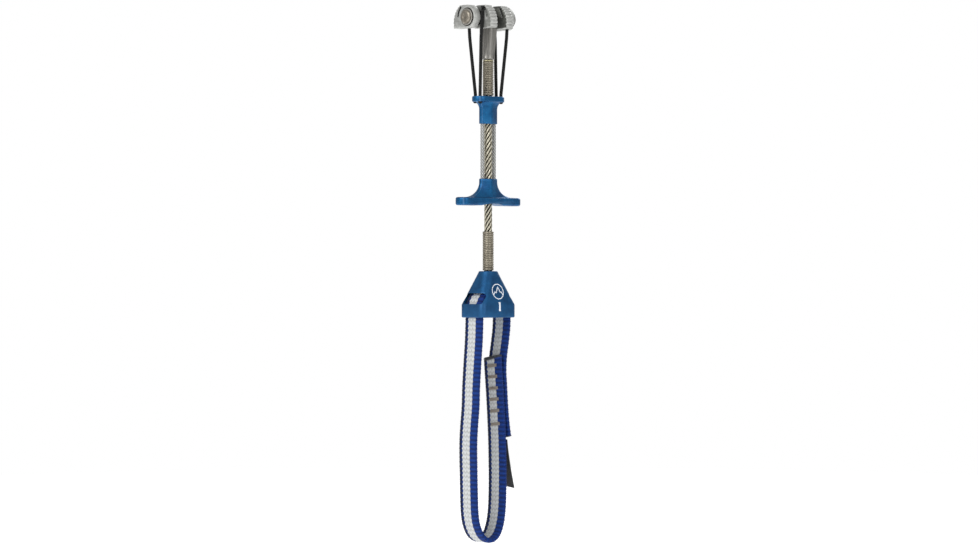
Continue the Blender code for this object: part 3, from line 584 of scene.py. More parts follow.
def slot_outline():
    half, sweep = SLOT_WIDE / 2, SLOT_TO - SLOT_FROM
    ends = []
    for at, start in ((SLOT_TO, SLOT_TO), (SLOT_FROM, SLOT_FROM + math.pi)):
        centre = SLOT_RADIUS * math.cos(at), SLOT_RADIUS * math.sin(at)
        ends.append(arc(half, start, math.pi, 8, centre)[1:-1])
    out = arc(SLOT_RADIUS + half, SLOT_FROM, sweep, 16) + ends[0]
    return out + arc(SLOT_RADIUS - half, SLOT_TO, -sweep, 16) + ends[1]


def across_x(name, outline, side, levels, mat, angle=35.0):
    """Loft an (y, z) outline along X; levels are (x, inset)."""
    rings = [[(x, side * y, z) for y, z in inset(outline, by)] for x, by in levels]
    return loft(name, rings, mat, angle)


def make_lobe(where):
    node = f"cam_lobe_{where}"
    low, high = limits(node)
    side = 1 if "outer" in where else -1
    x0, x1 = low[0], high[0]
    levels = [(x0, 0.34), (x0 + 0.1, 0.12), (x0 + 0.34, 0), (x1 - 0.34, 0), (x1 - 0.1, 0.12), (x1, 0.34)]
    obj = across_x(f"lobe_{where}_alloy", lobe_outline(), side, levels, ALLOY)
    middle = ((x0 + x1) / 2, 0, 0)
    gap_x = x1 if (abs(x1) < abs(x0)) == ("outer" in where) else x0
    slot = across_x("cutter", slot_outline(), side, [(x0 - 1, 0), (x1 + 1, 0)], None)
    cut(obj, rod(BORE, "X", middle, 12), rod(POCKET_RADIUS, "X", (gap_x, 0, 0), 2 * POCKET_DEPTH), slot)
    bevel(obj, 0.13, 2, 50)
    set_smooth(obj, 32)
    # painted shade share per face: 1 in the spring pocket, 0.85 on an inner lobe's face towards the middle,
    # 0.45 on the face by the spring pocket, 0 elsewhere
    values = []
    for face in obj.data.polygons:
        x, y, z = (part / MM for part in face.center)
        deep, far = abs(x - gap_x), abs(x - (x0 + x1 - gap_x))
        pocket = math.hypot(y, z) < POCKET_RADIUS + 0.02 and deep < POCKET_DEPTH + 0.1
        inner_face = "inner" in where and far < 0.05
        values.append(1.0 if pocket else 0.45 if deep < 0.05 else 0.85 if inner_face else 0.0)
    painted_gap_shade = obj.data.attributes.new("painted_gap_shade", "FLOAT", "FACE")
    painted_gap_shade.data.foreach_set("value", values)
    put(obj, "lobe_alloy", node)


LOBES = [f"{which}_{hand}" for which in ("outer", "inner") for hand in ("left", "right")]
for lobe_name in LOBES:
    make_lobe(lobe_name)


# ---------------------------------------------------------------- axle, washers, springs
def make_axle():
    low, high = limits("axle_rivet")
    washer_low, washer_high = limits("axle_washer_right")
    end, radius = high[0], high[2]
    shoulder = washer_high[0] + 0.12
    side = [
        (0.0001, end - 0.32), (0.9, end - 0.30), (1.25, end - 0.10), (1.7, end), (2.3, end - 0.03),
        (2.75, end - 0.16), (3.1, end - 0.38), (radius - 0.08, end - 0.62), (radius, end - 0.85),
        (radius - 0.06, shoulder + 0.06), (radius - 0.2, shoulder), (2.0, shoulder),
    ]
    profile = [(r, x) for r, x in side] + [(r, -x) for r, x in side[::-1]]
    put(lathe("axle_rivet_turned", profile, RIVET, "X", steps=72), "axle_steel", "axle_rivet")
    for hand, sx in (("left", -1), ("right", 1)):
        r, x0, x1 = washer_high[2], sx * washer_low[0], sx * washer_high[0]
        step = sx * 0.12
        ring = [(BORE, x0), (r - 0.12, x0), (r, x0 + step), (r, x1 - step), (r - 0.12, x1), (BORE, x1)]
        washer = lathe("washer", ring, WASHER, "X", steps=72, closed=True)
        # painted shadow: a dark disc a little wider than the washer, behind it, draws a shadow line round its
        # rim
        shade = [(BORE, x0), (r + 0.42, x0), (r + 0.42, x0 + 1.5 * step), (BORE, x0 + 1.5 * step)]
        shadow = lathe("shadow", shade, PAINTED_SHADE_STEEL, "X", steps=72, closed=True)
        put(join(f"washer_{hand}_turned", washer, shadow), "axle_steel", f"axle_washer_{hand}")


def make_spring(hand, sx):
    low, high = limits(f"torsion_spring_{hand}")
    middle, half = (low[0] + high[0]) / 2, (high[0] - low[0]) / 2 - 0.4
    turns, per_turn = 4.5, 36
    count = round(turns * per_turn)
    line = []
    for k in range(count + 1):
        a = 2 * math.pi * k / per_turn
        x = middle + sx * half * (2 * k / count - 1)
        line.append(Vector((x, SPRING_MEAN * math.sin(a), -SPRING_MEAN * math.cos(a))))
    obj = tube(f"spring_{hand}_wire", line, 0.39, SPRING, 10)
    put(obj, "spring_steel", f"torsion_spring_{hand}")


make_axle()
make_spring("left", -1)
make_spring("right", 1)


# ---------------------------------------------------------------- stem
STEM_HOLE = 2.3        # radius of the hole for the stem cable


def superellipse(half_y, half_x, z, power, steps=72):
    ring = []
    for k in range(steps):
        a = 2 * math.pi * (k + 0.5) / steps
        c, s = math.cos(a), math.sin(a)
        x, y = math.copysign(abs(c) ** power, c), math.copysign(abs(s) ** power, s)
        ring.append((half_x * x, half_y * y, z))
    return ring


def catmull_rows(rows, per_span):
    """Smooth rows of four numbers, as two planar lines."""
    first = catmull([(r[0], r[1]) for r in rows], per_span)
    second = catmull([(r[2], r[3]) for r in rows], per_span)
    return [(*a, *b) for a, b in zip(first, second)]


def make_terminal():
    low, high = limits("stem_terminal")
    eye_y, top, bottom = high[1], high[2], low[2]
    end_radius, eye_x = high[0], 2.6
    rings = []
    for k in range(11):
        a = math.radians(84 - 8.4 * k)
        lip = min(1.0, 0.86 + 0.05 * k)
        rings.append(superellipse(eye_y * math.cos(a), eye_x * lip, top - eye_y + eye_y * math.sin(a), 0.40))
    stations = [
        (-6.0, 4.2, 2.6, 0.40), (-8.0, 4.1, 2.6, 0.42), (-12.5, 3.7, 2.6, 0.52), (-15.3, 3.4, 2.75, 0.72),
        (-18.0, 3.2, 3.0, 0.95), (bottom + 0.35, end_radius, end_radius, 1.0),
    ]
    for z, half_y, half_x, power in catmull_rows(stations, 5):
        rings.append(superellipse(half_y, half_x, z, power))
    for drop, shrink in ((0.1, 0.05), (0.25, 0.15), (0.35, 0.35)):
        rings.append(superellipse(end_radius - shrink, end_radius - shrink, bottom + 0.35 - drop, 1.0))
    obj = loft("terminal_swaged", rings[::-1], TERMINAL, 50)
    cut(obj, rod(BORE, "X", (0, 0, 0), 20), rod(STEM_HOLE, "Z", (0, 0, bottom), 10))
    set_smooth(obj, 40)
    put(obj, "terminal_steel", "stem_terminal")


def make_sleeve(node, name, mat, slot, edge):
    low, high = limits(node)
    r, z0, z1 = high[0], low[2], high[2]
    profile = [(STEM_HOLE, z0), (r - edge, z0), (r - edge * 0.3, z0 + edge * 0.3), (r, z0 + edge),
               (r, z1 - edge), (r - edge * 0.3, z1 - edge * 0.3), (r - edge, z1), (STEM_HOLE, z1)]
    put(lathe(name, profile, mat, closed=True), slot, node)


def make_coil(node, name):
    """A close-wound sheath of flattened wire."""
    low, high = limits(node)
    half_wall, half_high, pitch, sides = 0.29, 0.42, 0.86, 10
    radius = high[0] - half_wall
    z0, z1 = low[2] + half_high, high[2] - half_high
    turns = (z1 - z0) / pitch + 2
    count = int(turns * 40)
    rings = []
    for k in range(count + 1):
        a = 2 * math.pi * turns * k / count
        z = min(max(z0 + pitch * (turns * k / count - 1), z0), z1)
        ring = []
        for j in range(sides):
            b = 2 * math.pi * j / sides
            r = radius + half_wall * math.cos(b)
            ring.append((r * math.cos(a), r * math.sin(a), z + half_high * math.sin(b)))
        rings.append(ring)
    put(loft(name, rings, SHEATH, 60), "sheath_steel", node)


CABLE_LAY, STRAND_MEAN, STRAND_RADIUS, CORE_RADIUS = 16.0, 1.47, 0.50, 1.12


def make_cable():
    low, high = limits("stem_cable")
    z0, z1 = low[2], high[2]
    # the core is near black: painted shade between the strands
    parts = [tube("core", [Vector((0, 0, z)) for z in (z0 + 0.1, z1 - 0.1)], CORE_RADIUS, PAINTED_SHADE_STEEL, 16)]
    count = int((z1 - z0) / 0.75)
    for s in range(6):
        line = []
        for k in range(count + 1):
            z = z0 + (z1 - z0) * k / count
            a = 2 * math.pi * (s / 6 + z / CABLE_LAY)
            line.append(Vector((STRAND_MEAN * math.cos(a), STRAND_MEAN * math.sin(a), z)))
        parts.append(tube("strand", line, STRAND_RADIUS, CABLE, 16))
    put(join("stem_cable_strands", *parts), "cable_steel", "stem_cable")


def make_link(hand):
    node = f"link_cable_{hand}"
    low, high = limits(node)
    x = (low[0] + high[0]) / 2
    count = int((high[2] - low[2]) / 0.3)
    line = [Vector((x, 0, low[2] + (high[2] - low[2]) * k / count)) for k in range(count + 1)]

    def laid(along, a):
        return 0.93 * (0.78 + 0.22 * abs(math.cos(3 * (a - 2 * math.pi * along / 9.0))) ** 0.7)

    put(tube(f"link_{hand}_strands", line, laid, LINK, 36, 50), "cable_steel", node)


make_terminal()
make_sleeve("terminal_ring", "terminal_ring_turned", BRASS, "ring_brass", 0.14)
make_coil("upper_coil_sheath", "upper_sheath_coil")
make_coil("lower_coil_sheath", "lower_sheath_coil")
make_cable()
make_link("left")
make_link("right")


# ---------------------------------------------------------------- collar and trigger
def oblong(end_x, end_radius, mid_radius, z, steps=128):
    """A ring round three circles in a row."""
    ring = []
    for k in range(steps):
        a = 2 * math.pi * (k + 0.5) / steps
        c, s = math.cos(a), math.sin(a)
        if end_x * abs(c) + end_radius > mid_radius:
            ring.append((math.copysign(end_x, c) + end_radius * c, end_radius * s, z))
        else:
            ring.append((mid_radius * c, mid_radius * s, z))
    return ring


LINK_X, TUBE_END, TUBE_MID = 3.85, 1.55, 2.75
LINK_HOLE = 1.1
FLANGE_THICK, FILLET = 2.7, 3.6
WING_THICK, WING_EDGE = 3.9, 0.9
END_RADIUS = 4.0       # of the collar's flange and the trigger's wings, seen from above
FLARE_SPREAD, FLARE_DROP = 8.5, 1.5
ARCH_HALF, ARCH_RISE = 7.5, 0.9
HOLE_X, HOLE_Y = 6.9, 1.7


def rounded_end(end_x, radius, z_edge, turn, edge, steps=4):
    """Rings that round an oblong's end face over; turn is +1 at a top and -1 at a bottom."""
    rings = []
    for k in range(steps + 1):
        a = math.pi / 2 * k / steps
        shrink = edge * (1 - math.sin(a))
        z = z_edge - turn * edge * (1 - math.cos(a))
        rings.append(oblong(end_x, radius - shrink, radius - shrink, z))
    return rings


def make_collar():
    low, high = limits("trigger_collar")
    top, bottom, flange = high[2], low[2], high[2] - FLANGE_THICK
    end_x = high[0] - END_RADIUS
    rings = rounded_end(end_x, END_RADIUS, top, 1, 0.55)
    rings += rounded_end(end_x, END_RADIUS, flange, -1, 0.45)[::-1]
    for k in range(9):
        a = math.pi / 2 * k / 8
        spread = FILLET * (1 - math.sin(a))
        rings.append(oblong(
            LINK_X + spread * 0.55, TUBE_END + spread * 0.36, TUBE_MID + spread * 0.25,
            flange - 0.04 - FILLET * (1 - math.cos(a)),
        ))
    rings.append(oblong(LINK_X, TUBE_END, TUBE_MID, bottom + 0.25))
    rings.append(oblong(LINK_X, TUBE_END - 0.08, TUBE_MID - 0.08, bottom + 0.08))
    rings.append(oblong(LINK_X, TUBE_END - 0.25, TUBE_MID - 0.25, bottom))
    obj = loft("collar_machined", rings[::-1], BLUE)
    holes = [rod(STEM_HOLE, "Z", (0, 0, (top + bottom) / 2), 30)]
    for sx in (-1, 1):
        holes.append(rod(LINK_HOLE, "Z", (sx * LINK_X, 0, bottom + 1.0), 6))
        for sy in (-1, 1):
            holes.append(rod(0.86, "Z", (sx * HOLE_X, sy * HOLE_Y, top), 20, 32))
            holes.append(rod(1.2, "Z", (sx * HOLE_X, sy * HOLE_Y, flange - 0.5), 2.3, 32))
    cut(obj, *holes)
    set_smooth(obj, 32)
    put(obj, "blue_anodised", "trigger_collar")


def make_trigger():
    low, high = limits("trigger_bar")
    top, bottom = high[2], low[2]
    wing_top, flare_top = bottom + WING_THICK, top - FLARE_DROP
    rings = [
        oblong(LINK_X, TUBE_END - 0.25, TUBE_MID - 0.25, top),
        oblong(LINK_X, TUBE_END - 0.08, TUBE_MID - 0.08, top - 0.08),
        oblong(LINK_X, TUBE_END, TUBE_MID, top - 0.25),
    ]
    for k in range(15):
        a = math.pi / 2 * k / 14
        spread = 1 - math.cos(a)
        rings.append(oblong(
            LINK_X + FLARE_SPREAD * spread, TUBE_END + 1.2 * spread, TUBE_MID + 0.4 * spread,
            flare_top - (flare_top - wing_top - 0.05) * math.sin(a),
        ))
    end_x = high[0] - END_RADIUS
    rings += rounded_end(end_x, END_RADIUS, wing_top, 1, WING_EDGE, 6)
    rings += rounded_end(end_x, END_RADIUS, bottom, -1, WING_EDGE, 6)[::-1]
    obj = loft("trigger_machined", rings[::-1], BLUE)
    arch_radius = (ARCH_HALF ** 2 + ARCH_RISE ** 2) / (2 * ARCH_RISE)
    holes = [rod(arch_radius, "Y", (0, 0, bottom + ARCH_RISE - arch_radius), 20, 256),
             rod(STEM_HOLE, "Z", (0, 0, (top + bottom) / 2), 30)]
    for sx in (-1, 1):
        holes.append(rod(LINK_HOLE, "Z", (sx * LINK_X, 0, top - 1.0), 6))
    cut(obj, *holes)
    set_smooth(obj, 32)
    put(obj, "blue_anodised", "trigger_bar")


make_collar()
make_trigger()


# ---------------------------------------------------------------- trigger cords
CORD_RADIUS = 0.7      # of the plain cord in the frame
BRAID_RADIUS, BRAID_HIGH = 0.82, 0.04
KNEE_Z = -10.0         # where a cord leaves its lobe's gap


def braided(along, a):
    wave = math.sin(2 * math.pi * along / 1.8 + 3 * a) * math.sin(2 * math.pi * along / 1.8 - 3 * a)
    return BRAID_RADIUS + BRAID_HIGH * wave


def make_trigger_cord(where, sx, sy):
    node = f"trigger_cord_{where}"
    low, high = limits(node)
    gap_x = (-low[0] if sx < 0 else high[0]) - CORD_RADIUS
    top_y = (high[1] if sy > 0 else -low[1]) - CORD_RADIUS
    top_z, bottom_z = high[2], low[2]
    collar_top = limits("trigger_collar")[1][2]
    knee_y = top_y + (HOLE_Y - top_y) * (top_z - KNEE_Z) / (top_z - collar_top)
    corners = [
        (gap_x, top_y, top_z), (gap_x, knee_y, KNEE_Z), (HOLE_X, HOLE_Y, collar_top + 1.2),
        (HOLE_X, HOLE_Y, bottom_z),
    ]
    points = []
    for start, end in zip(corners, corners[1:]):
        points += [tuple(p + (q - p) * t for p, q in zip(start, end)) for t in (0.0, 0.25, 0.5, 0.75)]
    points.append(corners[-1])
    line = even(catmull([(sx * x, sy * y, z) for x, y, z in points], 10), 0.22)
    put(tube(f"cord_{where}_braid", line, braided, CORD, 18), "cord_black", node)
    crimp = f"cord_crimp_{where}"
    c_low, c_high = limits(crimp)
    centre = ((c_low[0] + c_high[0]) / 2, (c_low[1] + c_high[1]) / 2, 0)
    r, z0, z1 = 1.0, c_low[2], c_high[2]
    profile = [(0.0001, z0), (0.45, z0 + 0.03), (0.8, z0 + 0.2), (r, z0 + 0.55), (0.96, z0 + 0.9),
               (0.82, z0 + 1.05), (0.95, z0 + 1.2), (0.98, z1 - 0.25), (0.8, z1 - 0.02), (0.0001, z1)]
    put(lathe(f"cord_{where}_stop", profile, CORD, "Z", centre, 24), "cord_black", crimp)


def make_knot(where, sx, sy):
    """The knot in the gap and the cord that runs through the lobe's slot to it."""
    node = f"cord_end_{where}"
    lobe_low, lobe_high = limits(f"cam_lobe_{where}")
    inner = "inner" in where
    faces = sorted((abs(lobe_low[0]), abs(lobe_high[0])))
    far, near = faces if inner else faces[::-1]
    gap_x = near + (0.9 if inner else -0.9)
    y, z = SLOT_RADIUS * math.cos(KNOT_ANGLE), SLOT_RADIUS * math.sin(KNOT_ANGLE)
    line = []
    for k in range(61):
        t = 2 * math.pi * k / 60
        line.append(Vector((
            sx * (gap_x + 0.28 * -math.sin(3 * t)),
            sy * y + 0.30 * (math.sin(t) + 1.1 * math.sin(2 * t)),
            z + 0.30 * (math.cos(t) - 1.1 * math.cos(2 * t)),
        )))
    knot = tube("knot", line, 0.36, CORD, 10)
    face = far + (0.55 if inner else -0.55)
    points = [(sx * gap_x, sy * y, z), (sx * near, sy * y, z), (sx * ((near + face) / 2), sy * y, z)]
    for k in range(6):
        a = KNOT_ANGLE - 0.02 - (KNOT_ANGLE - 0.02 - SLOT_FROM - 0.03) * k / 5
        points.append((sx * face, sy * SLOT_RADIUS * math.cos(a), SLOT_RADIUS * math.sin(a)))
    run = tube("run", even(catmull(points, 8), 0.25), 0.54, CORD, 12)
    put(join(f"cord_{where}_knot", knot, run), "cord_black", node)


for lobe_name in LOBES:
    hand_sign = -1 if lobe_name.endswith("left") else 1
    reach = 1 if "outer" in lobe_name else -1
    make_trigger_cord(lobe_name, hand_sign, reach)
    make_knot(lobe_name, hand_sign, reach)


# ---------------------------------------------------------------- thumb block
(_, _, BLOCK_LOW), (BLOCK_X, BLOCK_Y, BLOCK_TOP) = limits("thumb_block")
BASE_HIGH, CORNER, TOP_RADIUS, BLOCK_EDGE = 6.2, 3.0, 4.6, 0.6
TURN_Z, TURN_RADIUS = BLOCK_LOW + 3.8, 9.0      # where the tape turns over the block's bar
CHANNEL_HALF, CHANNEL_DEEP = 6.1, 2.6
WINDOW_LOW, WINDOW_HIGH, WINDOW_HALF = 6.6, 11.8, 7.0


def box_ring(half_x, half_y, corner, z, steps=12):
    ring = []
    for quarter, (sx, sy) in enumerate([(1, 1), (-1, 1), (-1, -1), (1, -1)]):
        for k in range(steps + 1):
            a = math.pi / 2 * (quarter + k / steps)
            x, y = corner * math.cos(a), corner * math.sin(a)
            ring.append((sx * (half_x - corner) + x, sy * (half_y - corner) + y, z))
    return ring


def block_halves(z):
    """Half width in X and Y and the corner radius at height z."""
    share = min(1.0, max(0.0, (z - BLOCK_LOW - BASE_HIGH) / (BLOCK_TOP - BLOCK_EDGE - BLOCK_LOW - BASE_HIGH)))
    return (
        BLOCK_X + (TOP_RADIUS - BLOCK_X) * share, BLOCK_Y + (TOP_RADIUS - BLOCK_Y) * share,
        CORNER + (TOP_RADIUS - 0.2 - CORNER) * share,
    )


def make_block():
    rings = []
    for k in range(5):
        a = math.pi / 2 * k / 4
        shrink = BLOCK_EDGE * (1 - math.sin(a))
        z = BLOCK_LOW + BLOCK_EDGE * (1 - math.cos(a))
        rings.append(box_ring(BLOCK_X - shrink, BLOCK_Y - shrink, CORNER - shrink, z))
    slope_top = BLOCK_TOP - BLOCK_EDGE
    for k in range(13):
        z = BLOCK_LOW + BASE_HIGH + (slope_top - BLOCK_LOW - BASE_HIGH) * k / 12
        rings.append(box_ring(*block_halves(z), z))
    for k in range(1, 5):
        a = math.pi / 2 * k / 4
        top = TOP_RADIUS - BLOCK_EDGE * (1 - math.cos(a))
        rings.append(box_ring(top, top, top - 0.2, slope_top + BLOCK_EDGE * math.sin(a)))
    obj = loft("block_machined", rings, BLUE_BLOCK)
    outer, inner = TURN_RADIUS + CHANNEL_DEEP / 2, TURN_RADIUS - CHANNEL_DEEP / 2
    below = BLOCK_LOW - 2
    outline = [(outer, below)] + arc(outer, 0.0, math.pi, 40, (0.0, TURN_Z)) + [(-outer, below)]
    outline += [(-inner, below)] + [(-x, z) for x, z in arc(inner, 0.0, math.pi, 40, (0.0, TURN_Z))]
    outline.append((inner, below))
    ends = (-CHANNEL_HALF, CHANNEL_HALF)
    cutters = [loft("cutter", [[(x, y, z) for x, z in outline] for y in ends], None)]
    low, high = BLOCK_LOW + WINDOW_LOW, BLOCK_LOW + WINDOW_HIGH
    for sx in (-1, 1):
        outline = []
        corners = [(1, 1.9, high), (-1, 1.9, high), (-1, 0.8, low), (1, 0.8, low)]
        for quarter, (sy, radius, z) in enumerate(corners):
            middle_z = z - radius if quarter < 2 else z + radius
            for k in range(9):
                a = math.pi / 2 * (quarter + k / 8)
                y = sy * (WINDOW_HALF - radius) + radius * math.cos(a)
                outline.append((y, middle_z + radius * math.sin(a)))
        cutters.append(loft("cutter", [[(sx * x, y, z) for y, z in outline] for x in (4.05, 20)], None))
    (_, _, stop_low), (_, _, stop_high) = limits("cable_end_stop")
    cutters.append(rod(STEM_HOLE, "Z", (0, 0, BLOCK_TOP), 20))
    cutters.append(rod(3.4, "Z", (0, 0, (stop_low - 1.5 + stop_high + 0.3) / 2), stop_high + 1.8 - stop_low))
    cut(obj, *cutters)
    bevel(obj, 0.22, 2, 42)
    set_smooth(obj, 30)
    put(obj, "blue_anodised", "thumb_block")


def facet_strip(points, half, closed=False):
    """A thin painted strip along (x, z) points on the block's -Y facet; half is its half width."""
    rings = []
    before, after = (points[-1], points[0]) if closed else (points[0], points[-1])
    longer = [before, *points, after]
    for k, (x, z) in enumerate(points):
        (x0, z0), (x1, z1) = longer[k], longer[k + 2]
        tx, tz = x1 - x0, z1 - z0
        size = math.hypot(tx, tz)
        nx, nz = -tz / size, tx / size
        wide = half[k] if hasattr(half, "__len__") else half
        left, right = (x + nx * wide, z + nz * wide), (x - nx * wide, z - nz * wide)
        ring = []
        for (px, pz), lift in ((left, 0.0), (left, 0.06), (right, 0.06), (right, 0.0)):
            ring.append((px, -block_halves(pz)[1] + 0.05 - lift * 1.8, pz))
        rings.append(ring)
    return loft("strip", rings, WHITE, 35, closed)


def make_marks():
    """A plain ring with a peak in it, and the size number under it."""
    ring_z, ring_r = BLOCK_LOW + 12.6, 3.55
    strips = [facet_strip(arc(ring_r, 0.0, 2 * math.pi, 72, (0.0, ring_z))[:-1], 0.19, True)]
    peak = [(-3.0, -1.5), (-1.9, -0.1), (-1.2, -0.7), (0.3, 2.3), (1.6, -0.4), (2.1, -0.1), (3.0, -1.5)]
    peak = [(x, ring_z + z) for x, z in peak]
    fine = []
    for (x0, z0), (x1, z1) in zip(peak, peak[1:]):
        fine += [(x0 + (x1 - x0) * t / 4, z0 + (z1 - z0) * t / 4) for t in range(4)]
    strips.append(facet_strip(fine + [peak[-1]], 0.2))
    digit_z = BLOCK_LOW + 5.3
    bar = [(0.0, digit_z - 2.15 + 4.3 * k / 12) for k in range(13)]
    widths = [0.62, 0.62, 0.52] + [0.46] * 7 + [0.52, 0.60, 0.60]
    strips.append(facet_strip(bar, widths))
    marks = join("block_marks", *strips)
    put(marks, "webbing_blue_white", body="stem")


make_block()
make_marks()


# ---------------------------------------------------------------- sling
# the tape's middle line in the plane y = 0, as (x, height above the block's bottom)
INNER_ROUTE = [
    (3.0, -18.7), (3.4, -24.5), (3.9, -30.0), (4.6, -38.0), (5.3, -48.0), (5.9, -59.0), (6.2, -70.0),
    (6.2, -82.0), (5.8, -92.0), (4.6, -99.5), (1.9, -105.3), (-2.7, -107.7), (-7.5, -105.7),
    (-10.6, -101.0), (-12.1, -95.0), (-12.6, -86.0), (-12.9, -74.0), (-13.1, -62.0), (-12.6, -53.0),
    (-11.6, -43.0), (-11.2, -33.0), (-10.2, -20.0), (-9.4, -10.0), (-9.0, 0.8),
]
OUTER_ROUTE = [
    (9.0, 0.8), (8.8, -5.0), (7.8, -12.0), (6.6, -19.0), (6.2, -26.0), (6.7, -33.0), (7.3, -42.0),
    (8.2, -50.5), (9.4, -58.0),
]
TAG_ROUTE = [(7.9, -59.2), (8.6, -64.0), (9.8, -70.0), (11.2, -76.0), (12.8, -82.0)]
TAPE_HALF, TAPE_THICK = 5.5, 2.0
TACK_PLACES = (4.4, 9.8, 15.4, 20.9, 26.5, 32.8)      # from the inner sewn end
TACK_HALF, TACK_SWING, TACK_SLANT, TACK_SHIFT = 3.1, 0.72, 0.10, -0.4
TAG_HALF, TAG_THICK = 4.95, 0.4


def hung(route):
    return [(x, BLOCK_LOW + z) for x, z in route]


def tape_line():
    turn = [(-x, z) for x, z in arc(TURN_RADIUS, 0.0, math.pi, 18, (0.0, TURN_Z))]
    line = catmull(hung(INNER_ROUTE) + turn[1:-1] + hung(OUTER_ROUTE), 10)
    return even(line, KNOB_PITCH / 8)


def tape_height(along, across):
    """How far the tape's face stands above its mean surface."""
    away = abs(across - STRIPE_SHIFT)
    if away > WHITE_HALF - 0.1:
        shift = 0.5 if away > (WHITE_HALF + TAPE_HALF) / 2 else 0.0
        block = abs(math.sin(math.pi * (along / KNOB_PITCH + shift)))
        return 0.46 * block ** 0.5 - 0.30
    column = abs(math.sin(math.pi * across / COLUMN_WIDE))
    row = abs(math.sin(math.pi * (along / ROW_PITCH + 0.5 * column)))
    return 0.17 * row ** 0.7 * column ** 0.4 - 0.10


def heading(line, k):
    """The line's direction at a point and the normal on its left."""
    tangent = (line[min(k + 1, len(line) - 1)] - line[max(k - 1, 0)]).normalized()
    return tangent, Vector((-tangent.y, tangent.x))


def make_tape():
    line = tape_line()
    profile_steps = 52
    rings, alongs, acrosses, charred = [], [], [], []
    along = 0.0
    total = sum((b - a).length for a, b in zip(line, line[1:]))
    for k, point in enumerate(line):
        if k:
            along += (point - line[k - 1]).length
        tangent, normal = heading(line, k)
        ring = []
        for j in range(profile_steps):
            t = 2 * math.pi * j / profile_steps
            c, s = math.cos(t), math.sin(t)
            y = TAPE_HALF * math.copysign(abs(c) ** 0.5, c)
            n = TAPE_THICK / 2 * math.copysign(abs(s) ** 0.3, s)
            lift = tape_height(along, y)
            edge_push = max(0.0, abs(y) - 4.6) / 0.9
            y += math.copysign(lift * edge_push * 1.9, y)
            n += math.copysign(lift * (1 - 0.5 * edge_push), n) if abs(n) > 0.2 else 0.0
            slant = -0.16 * y * math.exp(-along / 3.0)
            near_end = min(along, total - along)
            swell = 0.10 * math.exp(-((near_end - 0.6) / 0.9) ** 2)
            place = point + normal * (n * (1 + swell)) - tangent * slant
            ring.append((place.x, y, place.y))
            alongs.append(along)
            acrosses.append(y)
            charred.append(max(0.0, min(1.0, (1.9 + 0.12 * y - along) / 0.6)) if along < 4 else
                           max(0.0, min(1.0, (1.0 - (total - along)) / 0.5)) * 0.8)
        rings.append(ring)
    for end in (0, -1):
        middle = centre_of(rings[end])
        rings[end] = [tuple(p * 0.82 + q * 0.18 for p, q in zip(v, middle)) for v in rings[end]]
    tape = loft("sling_tape", rings, WEBBING, 60)
    store(tape, "along", alongs)
    store(tape, "across", acrosses)
    store(tape, "charred", charred)
    put(tape, "webbing_blue_white", "sling_webbing")
    return tape, line


def centre_of(ring):
    return tuple(sum(v[k] for v in ring) / len(ring) for k in range(3))


def make_tack(number, line, at):
    """A bar tack: zigzag thread across the tape's inner face, at a distance along its line."""
    done, k = 0.0, 0
    while done < at:
        k += 1
        done += (line[k] - line[k - 1]).length
    point = line[k]
    tangent, normal = heading(line, k)
    normal.negate()
    points, count = [], 17
    for n in range(count):
        y = -TACK_HALF + 2 * TACK_HALF * n / (count - 1)
        swing = (TACK_SWING if n % 2 else -TACK_SWING) + 0.10 * math.sin(2.1 * n + number)
        bow = TACK_SLANT * y
        out = TAPE_THICK / 2 + 0.10 + (0.0 if 0 < n < count - 1 else -0.25)
        place = point + tangent * (swing + bow) + normal * out
        points.append((place.x, y + TACK_SHIFT, place.y))
        if n < count - 1:
            place = point + tangent * bow + normal * (out + 0.14)
            points.append((place.x, y + TACK_SHIFT + 0.19, place.y))
    thread = tube("thread", even(catmull(points, 4), 0.16), 0.2, THREAD, 8)
    bed = []
    for n in (-1, 0, 1):
        row = []
        for m in range(13):
            y = -TACK_HALF + 2 * TACK_HALF * m / 12
            place = point + tangent * (TACK_SLANT * y + n * 0.5) + normal * (TAPE_THICK / 2 + 0.14)
            row.append(Vector((place.x, y + TACK_SHIFT, place.y)))
        bed.append(tube("thread", row, 0.24, THREAD, 8))
    tack = join(f"bar_tack_{number}", thread, *bed)
    return put(tack, "webbing_blue_white", body="stem")


def make_tag():
    line = even(catmull(hung(TAG_ROUTE), 10), 0.6)
    width = 40
    rings = []
    for k, point in enumerate(line):
        tangent, normal = heading(line, k)
        share = k / (len(line) - 1)
        front, back = [], []
        for j in range(width + 1):
            y = -TAG_HALF + 2 * TAG_HALF * j / width
            curl = 0.128 * share * math.sin(2.2 * y / TAG_HALF + 0.6)
            hang = -0.9 * share * (1 - (y + TAG_HALF) / (2 * TAG_HALF))
            for side, row in ((1, front), (-1, back)):
                place = point + normal * (TAG_THICK / 2 * side + curl)
                row.append((place.x, y, place.y + hang))
        rings.append(front + back[::-1])
    tag = loft("sling_tag_cloth", rings, TAG, 50)
    return put(tag, "tag_black", "sling_tag")


def make_sling():
    tape, line = make_tape()
    tacks = [make_tack(number, line, at) for number, at in enumerate(TACK_PLACES, 1)]
    tacks + [make_tag()]


make_sling()


# ---------------------------------------------------------------- CAD node that stays as it is
for slot in frame["nodes"]["cable_end_stop"].material_slots:
    slot.material = TERMINAL


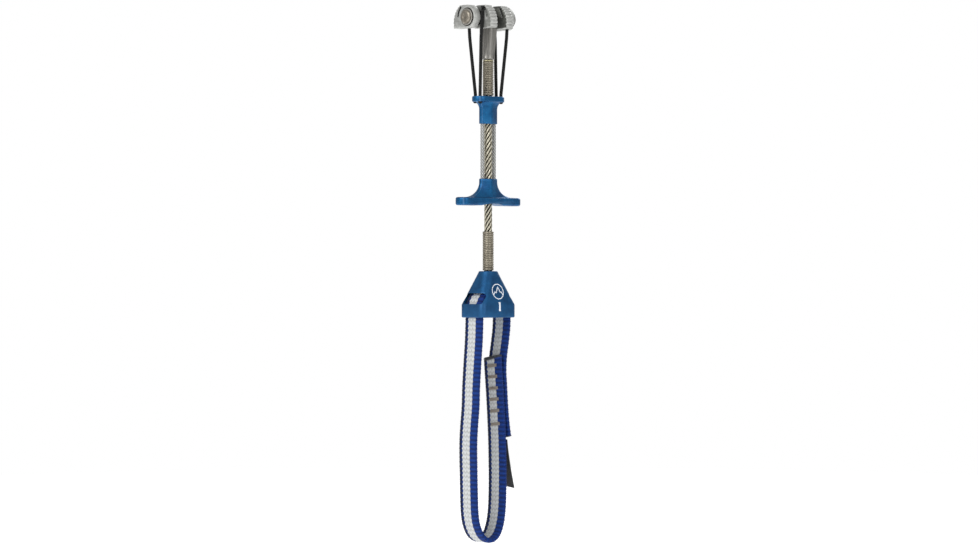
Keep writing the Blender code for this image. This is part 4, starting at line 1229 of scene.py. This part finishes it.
# ---------------------------------------------------------------- floor, light and camera
def stage_floor():
    m = Mat("floor_paper", roughness=0.9, Emission_Color=(1, 1, 1, 1), Emission_Strength=0.45)
    tone = m.noise(30, 3)
    m.done(m.ramp(tone, (0.3, linear(247, 247, 247)), (0.7, linear(252, 252, 252))), None, tone, 0.05, 0.05)
    floor_z = CAD_BOX[0][2] / MM - 8.0
    verts = [(x, y, floor_z) for x, y in arc(700, 0.0, 2 * math.pi, 128)[:-1]]
    floor = piece("floor", verts, [tuple(range(128))], m.mat)


def soft_light(name, place, target, size, power):
    data = bpy.data.lights.new(name, "AREA")
    data.shape = "DISK"
    data.size = size
    data.energy = power
    lamp = bpy.data.objects.new(name, data)
    SCENE.collection.objects.link(lamp)
    lamp.location = place
    lamp.rotation_euler = (Vector(target) - Vector(place)).to_track_quat("-Z", "Y").to_euler()


def make_world():
    world = bpy.data.worlds.new("studio")
    SCENE.world = world
    world.use_nodes = True
    nodes, links = world.node_tree.nodes, world.node_tree.links
    back, seen = nodes["Background"], nodes.new("ShaderNodeBackground")
    for node, strength in ((back, 0.45), (seen, 1.0)):
        node.inputs["Color"].default_value = (1, 1, 1, 1)
        node.inputs["Strength"].default_value = strength
    path = nodes.new("ShaderNodeLightPath")
    mix = nodes.new("ShaderNodeMixShader")
    links.new(path.outputs["Is Camera Ray"], mix.inputs["Fac"])
    links.new(back.outputs[0], mix.inputs[1])
    links.new(seen.outputs[0], mix.inputs[2])
    links.new(mix.outputs[0], nodes["World Output"].inputs["Surface"])


VIEW_TURN = math.radians(43)
CAMERA_AWAY = 1.5


def make_camera():
    data = bpy.data.cameras.new("camera")
    data.sensor_width = 36
    data.lens = 113.9
    data.clip_start = 0.05
    camera = bpy.data.objects.new("camera", data)
    SCENE.collection.objects.link(camera)
    right = Vector((math.cos(VIEW_TURN), -math.sin(VIEW_TURN), 0))
    target = Vector((0, 0, -0.1244)) + right * 0.0004
    camera.location = target + Vector((-math.sin(VIEW_TURN), -math.cos(VIEW_TURN), 0)) * CAMERA_AWAY
    camera.rotation_euler = (target - camera.location).to_track_quat("-Z", "Y").to_euler()
    SCENE.camera = camera


stage_floor()
make_world()
soft_light("key_left", (-0.75, -0.15, 0.35), (0, 0, -0.12), 0.55, 4.2)
soft_light("fill_front", (-0.1, -0.9, 0.25), (0, 0, -0.12), 0.5, 2.4)
soft_light("rim_right", (0.7, 0.25, 0.3), (0, 0, -0.1), 0.4, 2.0)
SCENE.view_settings.view_transform = "Standard"
make_camera()
